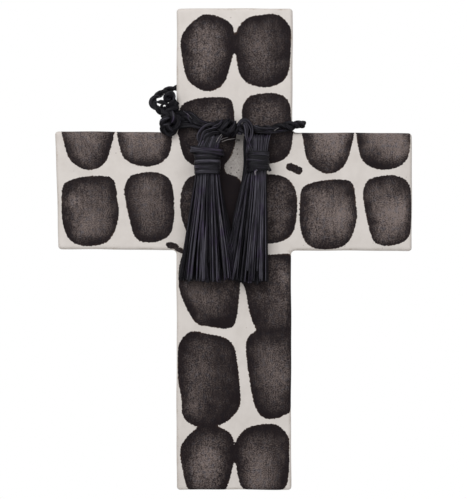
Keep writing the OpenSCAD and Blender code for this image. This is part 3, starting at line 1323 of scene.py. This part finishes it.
@dataclass
class Tie:
    """The cord round the upright, its knot and tails, and the strands wound about it in front."""

    cord: TwistedCord = field(default_factory=TwistedCord)
    route: Route = (
        (-42, -19.5, -49.5), (-37, -18.6, -50), (-30, -18.5, -51.2), (-22, -18.5, -54.2),
        (-14.5, -18.5, -57.8), (-7.5, -18.5, -58.1), (-1, -18.5, -56.8), (6, -18.5, -56.4),
        (12.5, -18.5, -57.2), (25, -18.5, -57.2), (33, -18.5, -55.6), (38, -18.4, -54.6),
        (44.6, -15.2, -54), (47.5, -8, -53.6), (44.6, -0.8, -53), (38, 2.4, -52), (27, 2.5, -48.6),
        (10, 2.5, -42.6), (-10, 2.5, -35.8), (-28, 2.5, -29.6), (-38, 2.4, -26.6),
        (-45, 0.6, -27.6), (-51.4, -3.4, -30.6), (-56, -8, -34.4), (-57.4, -12.4, -39.2),
        (-53.4, -15.6, -43.6), (-48, -17, -47),
    )
    steps: int = 12

    def build(self, raffia: bpy.types.Material) -> None:
        """Makes the cord, the knot with its tails, and the strands in front.

        Args:
            raffia: the raffia's finish.
        """
        path = smooth_route(self.route, self.steps)
        skin = Skin()
        line = self.cord.plies(skin, path, across=(0, 0, 1))
        cord = skin.piece("tie_cord_plies", raffia)
        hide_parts("tie_cord")
        knot = self.knot(raffia)
        self.front_wraps(raffia)

    def knot(self, raffia: bpy.types.Material) -> bpy.types.Object:
        """Makes the knot: three thick lobes laid over each other, the curled end and the short tail.

        Args:
            raffia: the finish.

        Returns:
            The knot's object.
        """
        skin = Skin()
        root = [
            (-40.8, -17.8, -39.6), (-42.4, -19.6, -42.6), (-45, -21.4, -46), (-48, -21.6, -50),
            (-48.8, -20.6, -54), (-46, -19.6, -56.8), (-42, -18.6, -56.4),
        ]
        over = [
            (-50.2, -18, -46.4), (-46.6, -21.6, -46.6), (-43, -23.6, -49), (-41, -22, -53),
            (-41.4, -19, -57.2),
        ]
        lobe = [
            (-40.2, -18.8, -46), (-43.4, -20.4, -51), (-47.2, -21, -54.2), (-50, -19.8, -57.4),
            (-48.4, -18.8, -60), (-45, -18.8, -60.6), (-41.8, -19, -58.6), (-39.8, -18.6, -55),
        ]
        curl = [
            (-43, -19.2, -45.6), (-42.2, -20, -41.5), (-42.2, -20.4, -38.2), (-42.6, -20.4, -35.2),
            (-44.4, -20.2, -32.8), (-46.8, -19.8, -33), (-48.2, -19.4, -35), (-47.4, -19.2, -37.4),
            (-45.4, -19.4, -37.4), (-44.8, -19.6, -35.8),
        ]
        tail = [
            (-44.6, -18.4, -44), (-46.6, -18.8, -41), (-49.7, -18.4, -38.9), (-53.2, -16.4, -38.2),
            (-56, -13.4, -38.4),
        ]
        bridge = [(-49.2, -17.6, -38.4), (-51, -17.2, -40.8), (-52, -16.6, -44)]
        under = [(-56.8, -12.8, -41.2), (-53.8, -15.4, -42.6), (-50.2, -17.2, -43.2), (-46.6, -18, -43.4)]
        plug = [(-46.8, -18.4, -37), (-45, -18.2, -35.6), (-43.6, -18.4, -34)]
        column = [(-42.6, -19.2, -38.6), (-43.2, -19.8, -41.6), (-44.4, -20.2, -45), (-44, -19.8, -49),
                  (-43, -19, -52)]
        core = [(-48.4, -17.8, -50), (-48.2, -17.6, -54.4), (-46.4, -17.8, -57.6), (-43.6, -17.8, -57.4)]
        # The core and the plug lie deep in the knot and in the curl's ring; their low tones are partly
        # painted shade.
        for route, turn, swell, tone, thin_end in (
            (root, 0.0, 1.3, 0.32, False),
            (column, 0.3, 1.2, 0.24, False),
            (core, 0.8, 1.1, 0.05, False),
            (bridge, 1.8, 0.6, 0.3, False),
            (under, 0.2, 0.7, 0.34, False),
            (plug, 0.9, 0.8, 0.1, False),
            (over, 1.4, 1.25, 0.4, False),
            (lobe, 1.0, 0.92, 0.28, False),
            (curl, 2.0, 0.72, 0.36, True),
            (tail, 0.5, 0.6, 0.36, True),
        ):
            self.cord.plies(skin, smooth_route(route, 8), (0, 1, 0), turn, swell, tone, thin_end)
        knot = skin.piece("side_knot", raffia)
        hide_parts("tie_knot")
        return knot

    def fan(self) -> list[Strand]:
        """The strands that spread from the knot over the edge and gather again on the cord."""
        n = np.arange(13)
        starts = -45.2 - 0.94 * n
        middles = -45.9 - 0.82 * n
        ends = -53.4 - 0.36 * n
        heights = -17.0 - 0.8 * (n % 3) - 0.4 * (n % 2)
        tones = -0.14 + 0.1 * (n * 5 % 4)
        return [
            Strand(
                ((-42.6, h - 1.2, a), (-37, h - 0.6, (3 * a + m) / 4), (-30.5, h - 0.8, m),
                 (-24.5, h - 2, (m + 2 * e) / 3), (-17.5, h - 2.4, e - 0.8)),
                width=1.9 + 0.5 * (k % 3), tone=float(tone), thick=0.45, face=0.3 - 0.05 * k,
            )
            for k, (a, m, e, h, tone) in enumerate(zip(starts, middles, ends, heights, tones))
        ]

    def front_wraps(self, raffia: bpy.types.Material) -> None:
        """Makes the wraps that hold the left tassel, its hooks, the right one's hanger and the rest.

        Args:
            raffia: the finish.
        """
        skin = Skin()
        level = (0, 0, 1)
        high = [(-23, -19.5, -55.8), (-16, -21.4, -54.8), (-9.6, -22.2, -53.8), (-4.6, -22, -53),
                (-0.4, -20.6, -54.6), (3, -18.8, -57.4)]
        low = [(-21, -20, -57.6), (-15, -22.6, -58.4), (-9, -23.8, -59.8), (-3.6, -23, -59.6),
               (1.4, -21, -58.2), (5.6, -19, -57.6)]
        self.cord.plies(skin, smooth_route(high, 8), level, turn=0.6, swell=0.98, tone=0.12)
        self.cord.plies(skin, smooth_route(low, 8), level, turn=2.2, swell=1.04, tone=0.13)
        crossing = [
            Strand(((-11.6, -22.5, -63), (-9.4, -26, -59), (-6.4, -26, -55), (-3.6, -23.4, -51)),
                   3.6, 0.06, 1.6, 0.2),
            Strand(((-5.4, -22.4, -63.2), (-3, -25.6, -59.6), (-0.4, -25, -55.6), (1, -22, -52.4)),
                   3.4, 0.04, 1.6, 0.1),
            Strand(((-16.4, -23, -59.6), (-14, -25.4, -57.2), (-10.4, -25.6, -54.6), (-7.6, -22.6, -51.8)),
                   3.0, 0.12, 1.4),
            Strand(((-1.8, -20.4, -63), (0.6, -23.6, -60.6), (2.6, -23.4, -57.4), (3, -20.6, -54)),
                   2.6, 0.1, 1.3),
        ]
        hooks = [
            Strand(((-13.4, -24, -54.6), (-18.6, -24.8, -55.6), (-22.6, -24.8, -58.4), (-24.8, -24.4, -62.6),
                    (-24.2, -24, -66.4), (-21.6, -24.2, -70.6)), 2.6, 0.3, 1.3, 0.5),
            Strand(((-11.6, -25.4, -56.8), (-16.4, -26.6, -58.2), (-20.8, -26.4, -60), (-22.4, -25.6, -64.2),
                    (-23.6, -25.4, -70.6)), 2.8, 0.38, 1.4, 0.3, 0.8),
            Strand(((-10.6, -25, -60.6), (-14.2, -26.8, -60.6), (-17.4, -27, -62.8), (-19.8, -26.6, -65),
                    (-20.6, -26.4, -71.6)), 2.6, 0.18, 1.3, 0.1, -0.9),
            Strand(((-15, -24.6, -60), (-18.8, -26, -61.4), (-21.2, -26.2, -64.8), (-19.4, -26.4, -69)),
                   1.7, 0.56, 1.0),
            Strand(((-18.4, -22, -57), (-21.6, -22, -60), (-22.6, -22, -64), (-21.6, -22.4, -70)),
                   2.6, 0.02, 1.2),
            Strand(((-9.4, -23, -60.4), (-13, -25, -62.6), (-15.6, -25.8, -66), (-16.8, -25.6, -71)),
                   2.2, 0.06, 1.1),
        ]
        hanger = [
            Strand(((3.4, -19.4, -61), (2.8, -21.6, -57.6), (3.9, -23, -54), (6.2, -23.4, -51.9),
                    (8.8, -23.2, -52), (11, -23, -54.4), (12.6, -23.4, -58), (12.6, -24.6, -63),
                    (10.6, -26, -68), (9.2, -26.6, -75.4)), 3.1, 0.36, 1.8, 0.1, 0.6),
            Strand(((5.6, -20.4, -55), (7.4, -23, -55.2), (8.6, -24.8, -58.6), (8.9, -26, -63),
                    (10.4, -27.4, -68.6), (12.8, -28.4, -75.4)), 3.0, 0.42, 1.7, -0.1, -0.5),
            Strand(((1.6, -20.8, -56.2), (4.2, -22.6, -58.4), (7.2, -22, -60.2), (10.4, -20, -60.6)),
                   2.7, 0.3, 1.6),
            Strand(((1.4, -20, -58.6), (3, -22.2, -60.4), (5.4, -21.4, -61.2)), 2.2, 0.4, 1.2),
        ]
        right = [
            Strand(((9, -20.4, -55.6), (15, -22.2, -56.6), (22, -21.6, -57.6), (30, -19.8, -56.6),
                    (36.5, -18.8, -56), (43, -18.2, -55.4)), 2.8, 0.16, 1.0, 0.3, 0.5),
            Strand(((11, -20.8, -58.4), (17, -24.4, -59.2), (24, -23, -59.8), (31, -19, -59.6),
                    (37, -18, -58.6), (42.6, -17.6, -56.6)), 2.9, 0.22, 1.0, -0.2, -0.4),
            Strand(((13, -22.4, -56.4), (17.6, -25, -57.6), (22.6, -24.6, -58.2), (27, -21, -58)),
                   2.6, 0.26, 0.9, 0.2),
        ]
        lay_strands(skin, self.fan() + crossing + hooks + hanger + right, parts=3)
        ends = [
            [(36.6, -18.6, -56), (39.8, -18.6, -55.8), (42.4, -17.4, -55.4), (44, -15.6, -55)],
            [(42.2, -17.8, -54.6), (45.4, -16.6, -54.2), (47.6, -14, -54), (48.6, -10.6, -53.8)],
        ]
        for k, lump in enumerate(ends):
            self.cord.plies(skin, smooth_route(lump, 6), level, turn=1.1 + k, swell=1.08, tone=0.4)
        skin.piece("front_wraps", raffia)
        self.stray_fibres(raffia)

    def stray_fibres(self, raffia: bpy.types.Material) -> None:
        """Makes the fine fibres that stand off the wraps.

        Args:
            raffia: the finish.
        """
        skin = Skin()
        # Fibres with tones above 1 turn pale: partly pale fibre, partly painted highlight.
        routes = (
            (((-12.6, -27.6, -67.4), (-11, -28.4, -64.4), (-8.8, -27.4, -61.8)), 0.4, 1.8),
            (((-10.8, -28, -68), (-9.6, -28.8, -65.2), (-8.2, -28, -62.6)), 0.28, 1.6),
            (((-8.8, -27.4, -67.2), (-4.6, -26, -65.6), (1.2, -20, -64.2)), 0.42, 1.9),
            (((-9.6, -27.8, -66), (-7.4, -27, -64.8), (-4.4, -24, -63.8)), 0.35, 1.7),
            (((-3, -21, -65.8), (0.6, -20, -65.4), (4.2, -18, -66)), 0.4, 0.1),
            (((-2.6, -18.4, -64), (1.2, -17.6, -64.4), (4.3, -17, -65.2)), 0.4, 0.1),
            (((26.4, -20, -60.4), (28.4, -21.4, -58.6), (31.2, -20.4, -56.8)), 0.4, 1.4),
            (((25, -20.4, -61.2), (28, -20.8, -60.2), (32, -19, -58.8)), 0.35, 1.2),
            (((41, -17, -59.2), (43.6, -17.2, -60.4), (48.4, -16.8, -60.7)), 0.3, 0.9),
            (((-33.4, -20.6, -46.4), (-31.4, -21.4, -48.6), (-29.6, -20.6, -50.6)), 0.4, 1.3),
            (((-36, -20, -44.8), (-33, -21, -47.4), (-31.6, -20.6, -50)), 0.35, 1.2),
            (((-51.6, -20, -58), (-52, -19.6, -60.4), (-50.8, -19, -62.6)), 0.3, 0.5),
        )
        fibres = [Strand(route, width, tone, thick=0.3) for route, width, tone in routes]
        lay_strands(skin, fibres, rings=16, sides=6)
        skin.piece("stray_fibres", raffia)


@dataclass(frozen=True)
class Row:
    """One layer of a skirt: its place, and its strands' number, tone, spread of tone and widths.

    The place is 0 at the back and 1 in front. The number is for a neck of half width NECK_HALF, and a
    narrower neck has its share of it.
    """

    forward: float
    count: int
    tone: float
    spread: float
    widths: tuple[float, ...]


@dataclass(frozen=True)
class Band:
    """One turn of the binding: its height, width, half length, how much its left end is higher, and tone."""

    level: float
    width: float
    half: float
    lean: float
    tone: float


NECK_HALF = 9.0
STRAND_THICK = 0.5
BAND_THICK = 0.8
# Tones rise from the back rows to the front: the dark back rows are painted shade deep in the skirt, and the
# light front rows are partly painted sheen.
SKIRT_ROWS = (
    Row(0.00, 26, -0.20, 0.04, (1.8, 2.2)),
    Row(0.25, 26, -0.12, 0.08, (1.5, 2.0)),
    Row(0.50, 20, 0.04, 0.14, (1.3, 1.7)),
    Row(0.74, 20, 0.36, 0.24, (0.9, 1.2, 1.6)),
    Row(0.94, 18, 0.66, 0.24, (0.8, 1.1, 1.4, 2.3)),
)


@dataclass
class Tassel:
    """One tassel: folded head, bound neck and a skirt of flat strands lying on the slab's front.

    The neck and the hem are ellipses; a strand starts in the one and ends at the same share of the other.
    """

    name: str
    seed: int
    neck_x: float
    neck_half: float
    neck_top: float
    neck_bottom: float
    hem_x: float
    hem_half: float
    hem_z: float
    head_top: float
    head_x: float
    head_half: float
    bands: tuple[Band, ...]
    extra: tuple[Strand, ...]
    shade: float
    depth: float = 6.3
    hem_depth: float = 5.6
    back: float = -16.5
    overlap: float = 3.0

    def __post_init__(self) -> None:
        """Seeds the tassel's own random draws."""
        self.rng = np.random.default_rng(self.seed)

    def skirt(self, skin: Skin) -> None:
        """Adds the skirt's rows of strands, which fall from the neck and spread to the hem.

        At share t of the fall, a strand's x goes from its place in the neck to its place in the hem in
        proportion to t, and its y eases from the neck's ellipse to the hem's flatter one with a slight
        bulge between. Rows nearer the front are narrower, by the root of 1 - 0.36 times forward squared.

        Args:
            skin: the mesh to add to.
        """
        t = np.linspace(0, 1, 30)[None]
        top = self.neck_bottom + self.overlap
        for row in SKIRT_ROWS:
            n = round(row.count * self.neck_half / NECK_HALF)
            each = (n, 1)
            across = (np.arange(n)[:, None] + 0.5) / n * 2 - 1 + self.rng.normal(0, 0.045, each)
            across = np.clip(across, -1, 1) * math.sqrt(1 - 0.36 * row.forward**2)
            x0 = self.neck_x + across * (self.neck_half - 1.0)
            drift = self.rng.normal(0, 0.03 + 0.03 * row.forward, each)
            spread = np.clip(across * (1 + 0.06 * row.forward) + drift, -1, 1)
            x1 = self.hem_x + spread * (self.hem_half - 0.6)
            sway = self.rng.normal(0, 0.32, each) * np.sin(math.pi * t * self.rng.uniform(0.8, 2.4, each))
            x = x0 + (x1 - x0) * t + sway
            end = self.hem_z + self.rng.normal(0, 0.9, each) + 2.0 * np.abs(across) ** 2
            short = self.rng.random(each) < 0.08
            inner = short & (row.forward > 0.4) & (np.abs(across) < 0.7)
            end = np.where(inner, end + self.rng.uniform(3, 18, each), end)
            z = top + (end - top) * t
            neck = 2 * self.depth * np.sqrt(np.clip(1 - (across * 0.9) ** 2, 0.12, 1))
            hem = 2 * self.hem_depth * np.sqrt(np.clip(1 - (across * 0.8) ** 2, 0.15, 1))
            y0 = self.back - 0.4 - (self.depth - neck / 2) - row.forward * (neck - 1.4)
            y1 = self.back - 0.4 - row.forward * (hem - 1.0)
            y = y0 + (y1 - y0) * ease(t) - 1.0 * np.sin(math.pi * t) * row.forward
            y = np.minimum(y + self.rng.normal(0, 0.35, each) * np.sin(math.pi * t * 1.7), self.back - 0.2)
            turn = self.rng.normal(0, 0.4, each) + self.rng.normal(0, 0.5, each) * t + across * 0.6
            facing = np.stack([np.sin(turn), -np.cos(turn), 0 * turn], -1)
            width = self.rng.choice(row.widths, each) * (0.86 + 0.14 * ease(t, 0, 0.5))
            width = width * (1 + 0.06 * np.sin(11 * t + across * 9))
            tone = self.rng.normal(row.tone - self.shade, row.spread, each)
            # Back rows get lighter towards the sides, where their painted shade eases.
            tone = np.clip(tone + 0.3 * (1 - row.forward) * ease(np.abs(across), 0.6, 1.0), -0.3, 1.25)
            place = self.rng.uniform(0, 4000, each)
            skin.add_ribbons(np.stack([x, y, z], -1), facing, width, STRAND_THICK, top - z + place, tone)

    def head(self, skin: Skin) -> None:
        """Adds the head's upright strands, which rise from the neck and fold back under the cord.

        Args:
            skin: the mesh to add to.
        """
        n, rings = 28, 18
        each = (n, 1)
        number = np.arange(n)[:, None]
        row = number % 2
        across = (number // 2 + 0.5 + 0.4 * row) / (n // 2) * 2 - 1
        across = np.clip(across + self.rng.normal(0, 0.03, each), -1, 1)
        t = np.linspace(0, 1, rings)[None]
        x0 = self.neck_x + across * (self.neck_half - 1.0)
        x1 = self.head_x + across * (self.head_half - 1.0)
        x = x0 + (x1 - x0) * ease(t, 0, 0.9)
        bottom = self.neck_top - self.overlap
        top = self.head_top + self.rng.normal(0, 0.3, each)
        z = bottom + (top - bottom) * np.sin(t * math.pi / 2)
        full = 2 * self.depth * np.sqrt(np.clip(1 - across**2 * 0.8, 0.1, 1))
        y0 = self.back - 0.3 - (self.depth - full / 2) - (0.4 + 0.55 * row) * (full - 1.2)
        y = y0 + (self.back - 2.4 - y0) * ease(t, 0.5, 1.0) * 0.8
        turn = across * 0.8 + self.rng.normal(0, 0.2, each) + 0 * t
        facing = np.stack([np.sin(turn), -np.cos(turn), 0.9 * ease(t, 0.5, 1.0) + 0 * turn], -1)
        width = np.where(row > 0, self.rng.choice([1.1, 1.5, 2.4], each), 2.2) + 0 * t
        # The head's back strands are darker than its front ones: painted shade.
        tone = np.clip(self.rng.normal(0.1 + 0.42 * row, 0.24, each), -0.1, 1.1)
        v = t * 18 + number * 53.0
        skin.add_ribbons(np.stack([x, y, z], -1), facing, width, STRAND_THICK, v, tone)

    def wind(self, skin: Skin, band: Band) -> None:
        """Adds one turn of raffia round the neck, laid on a squarish ellipse that leans.

        A point at angle a lies at half |cos a|^0.8 across and deep |sin a|^0.8 forward or back.

        Args:
            skin: the mesh to add to.
            band: the turn.
        """
        rings = 72
        a = np.linspace(0, 2 * math.pi * 1.03, rings) + self.rng.uniform(0.9, 2.2)
        c, d = np.cos(a), np.sin(a)
        deep = self.depth + 0.5 + min(0.5 * (band.half - self.neck_half), 0.6)
        x = self.neck_x + band.half * np.sign(c) * np.abs(c) ** 0.8
        y = np.minimum(self.back - self.depth - 0.3 + deep * np.sign(d) * np.abs(d) ** 0.8, self.back + 0.1)
        z = band.level - band.lean / 2 * c + 0.12 * np.sin(3 * a + band.level)
        path = np.stack([x, y, z], 1)
        facing = unit(np.stack([c / band.half, d / deep, 0.02 * np.sin(2 * a + band.level)], 1))
        width = band.width * (1 + 0.04 * np.sin(2 * a + band.level))
        v = np.linspace(0, 50, rings)[None] - 70 * band.level
        skin.add_ribbons(
            path[None], facing[None], width[None], BAND_THICK, v, np.array([band.tone]),
            sides=16, cup=0.02, girth=2 * band.width,
        )

    def build(self, raffia: bpy.types.Material) -> None:
        """Makes the strands and the binding.

        Args:
            raffia: the finish.
        """
        skin = Skin()
        self.skirt(skin)
        self.head(skin)
        lay_strands(skin, self.extra, sides=8, parts=2)
        strands = skin.piece(f"{self.name}_strands", raffia)
        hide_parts(self.name)
        wound = Skin()
        for band in self.bands:
            self.wind(wound, band)
        binding = wound.piece(f"{self.name}_binding", raffia)
        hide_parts(f"{self.name}_winding")


def strays(
    start: tuple[float, float], ends: tuple[float, float], hem_z: float, count: int
) -> tuple[Strand, ...]:
    """Dark strands low against the slab that stray from a neck towards the other tassel; their low tones are
    partly painted shade between the tassels.

    Args:
        start: the x and z at which they leave the neck.
        ends: the least and greatest x at the hem.
        hem_z: the height of their tips.
        count: how many there are.

    Returns:
        The strands, evenly spread over the ends.
    """
    x, z = start
    return tuple(
        Strand(
            ((x, -19.6, z), ((2 * x + end) / 3, -19 - 0.4 * (k % 3), z + (hem_z - z) / 3),
             (end, -18.2 - 0.5 * (k % 3), hem_z - 1.3 * (k % 4))),
            width=1.5 + 0.3 * (k % 3), tone=0.06 + 0.12 * (k * 3 % 4), thick=0.5,
            face=0.3 - 0.2 * (k % 4), twist=0.6,
        )
        for k, end in enumerate(np.linspace(*ends, count).tolist())
    )


def left_tassel() -> Tassel:
    """The left tassel, wide at its hem, with a broad flat ribbon as its topmost turn."""
    bands = (
        Band(-88.0, 3.4, 8.7, 0.2, 0.12), Band(-84.9, 4.3, 8.9, -0.3, 0.26), Band(-80.9, 4.3, 8.9, 0.3, 0.32),
        Band(-77.0, 4.2, 9.1, -0.4, 0.12), Band(-73.4, 4.9, 11.2, 2.8, 0.36),
    )
    extra = (
        Strand(((-24, -25.6, -72.4), (-27.4, -25, -72.1), (-30.6, -24.6, -72)), 4.6, 0.7, 0.6),
    ) + strays((-12.4, -88), (-6.4, 3.6), -160, 9)
    return Tassel(
        name="left_tassel", seed=11, neck_x=-18.9, neck_half=9.0, neck_top=-70.6, neck_bottom=-89.2,
        hem_x=-20.5, hem_half=18.8, hem_z=-164.0, head_top=-61.2, head_x=-14.4, head_half=6.6, shade=-0.08,
        bands=bands, extra=extra,
    )


def right_tassel() -> Tassel:
    """The right tassel, straight at its right side, with strands that stray to the left."""
    bands = (
        Band(-86.0, 3.4, 7.6, -1.8, -0.04), Band(-84.2, 3.6, 7.9, 1.6, 0.14),
        Band(-82.0, 3.2, 7.8, -0.6, 0.0), Band(-79.8, 2.9, 7.7, 0.3, 0.18),
        Band(-77.9, 2.4, 7.7, 0.2, 0.02), Band(-76.2, 2.2, 7.7, -0.3, 0.24),
        Band(-74.7, 2.1, 7.7, 0.2, 0.1),
    )
    extra = (
        Strand(((10.4, -23, -86), (7.6, -22.6, -96), (1.2, -20.6, -124), (-6.4, -19, -161)),
               1.7, 0.46, 0.5, 0.3, 0.5),
        Strand(((10.6, -21, -87), (5.8, -21, -112), (1.2, -20.4, -138), (-1.6, -19.6, -163)),
               1.8, 0.3, 0.5, 0.1, 0.7),
        Strand(((11, -25, -87), (8.2, -25.6, -104), (4.6, -25, -132), (-1.4, -24, -164)),
               1.9, 0.6, 0.5, 0.2, 0.3),
        # A dark strand beside the right tassel's binding; its low tone is partly painted shade.
        Strand(((8.4, -20.6, -60), (7.6, -21, -72), (7.4, -21.4, -84), (5.4, -21, -98), (-1, -20, -128)),
               2.6, 0.1, 0.7),
        Strand(((9.2, -22, -84), (7.2, -22, -92), (3.4, -21, -108), (-3, -20, -140)),
               2.2, 0.2, 0.5, 0.2, 0.4),
        Strand(((14.6, -29.6, -90.6), (14.2, -30.2, -88.6), (15.8, -30.4, -86.8)), 1.4, 1.3, 0.6, 0.2),
        Strand(((22.6, -24, -84), (24.6, -23.6, -85.6), (25, -22.6, -87.4)), 2.0, 0.5, 0.8, 0.2),
    ) + strays((10.4, -88), (-6.6, 1.6), -160, 9)
    return Tassel(
        name="right_tassel", seed=23, neck_x=16.5, neck_half=7.3, neck_top=-74.2, neck_bottom=-87.4,
        hem_x=11.5, hem_half=13.6, hem_z=-165.0, head_top=-61.2, head_x=17.2, head_half=8.8, shade=0.12,
        bands=bands, extra=extra,
    )


# ---------------------------------------------------------------------------
# Floor, light and camera
# ---------------------------------------------------------------------------


@dataclass
class Studio:
    """A pale floor below, soft light from the upper left and a camera square to the front."""

    view_height: float = 351.8
    lens: float = 110.0
    sensor: float = 36.0
    middle_x: float = -0.56
    middle_z: float = -142.3
    front_y: float = -16.0
    floor_z: float = -500.0
    floor_half: float = 600.0
    floor_colour: Colour = (0.88, 0.88, 0.88, 1)
    floor_roughness: float = 0.9
    world_light: float = 0.44

    def build(self) -> None:
        """Makes the world, the floor, the lamps and the camera."""
        scene = bpy.context.scene
        scene.view_settings.view_transform = "Standard"
        self.world(scene)
        self.floor()
        self.lamp("key_light", (-420, -820, 620), 700, 7.6)
        self.lamp("fill_light", (700, -900, 200), 900, 2.4)
        data = bpy.data.cameras.new("front_camera")
        data.lens, data.sensor_width, data.sensor_height = self.lens, self.sensor, self.sensor
        data.sensor_fit = "VERTICAL"
        camera = bpy.data.objects.new("front_camera", data)
        away = self.lens / self.sensor * self.view_height
        camera.location = (self.middle_x * MM, (self.front_y - away) * MM, self.middle_z * MM)
        camera.rotation_euler = (math.pi / 2, 0, 0)
        scene.collection.objects.link(camera)
        scene.camera = camera

    def world(self, scene: bpy.types.Scene) -> None:
        """White where the camera or a reflection sees it, and a plain soft grey as light."""
        world = bpy.data.worlds.new("studio_world")
        scene.world = world
        world.use_nodes = True
        s = Sheet(world.node_tree)
        base = world.node_tree.nodes["Background"]
        base.inputs["Color"].default_value = (1, 1, 1, 1)
        rays = s.node("ShaderNodeLightPath").outputs
        seen = s.math("MAXIMUM", rays["Is Camera Ray"], rays["Is Glossy Ray"])
        seen = s.math("MAXIMUM", seen, rays["Is Transmission Ray"])
        strength = s.node("ShaderNodeMapRange", Value=seen, To_Min=self.world_light, To_Max=1.0)
        world.node_tree.links.new(strength.outputs["Result"], base.inputs["Strength"])

    def floor(self) -> None:
        """A pale floor well below the cross."""
        h, z = self.floor_half * MM, self.floor_z * MM
        mesh = bpy.data.meshes.new("studio_floor")
        mesh.from_pydata([(-h, -h, z), (h, -h, z), (h, h, z), (-h, h, z)], [], [[0, 1, 2, 3]])
        material, _, shader = start_material("pale_floor")
        shader.inputs["Base Color"].default_value = self.floor_colour
        shader.inputs["Roughness"].default_value = self.floor_roughness
        mesh.materials.append(material)
        floor = bpy.data.objects.new("studio_floor", mesh)
        bpy.context.scene.collection.objects.link(floor)

    def lamp(self, name: str, place: tuple[float, float, float], size: float, power: float) -> None:
        """A square soft lamp that faces the middle of the cross.

        Args:
            name: its name.
            place: where it stands, in millimetres.
            size: its side.
            power: its power in watts.
        """
        data = bpy.data.lights.new(name, "AREA")
        data.size, data.energy = size * MM, power
        lamp = bpy.data.objects.new(name, data)
        lamp.location = [c * MM for c in place]
        aim = np.array([0, -10, self.middle_z]) - np.array(place)
        lamp.rotation_euler = (
            math.atan2(float(np.hypot(aim[0], aim[1])), float(-aim[2])),
            0,
            math.atan2(float(aim[1]), float(aim[0])) - math.pi / 2,
        )
        bpy.context.scene.collection.objects.link(lamp)


def main() -> None:
    """Builds the wall cross in order: the frame, the studio, the raffia tie, the slab, the tassels."""
    logging.basicConfig(level=logging.INFO, format="%(name)s: %(message)s")
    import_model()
    group = mottle_group()
    Studio().build()
    raffia = RaffiaFinish().build(group)
    Tie().build(raffia)
    CrossSlab().build(GlazeFinish().build(group))
    for tassel in (left_tassel(), right_tassel()):
        tassel.build(raffia)


if __name__ == "__main__":
    main()
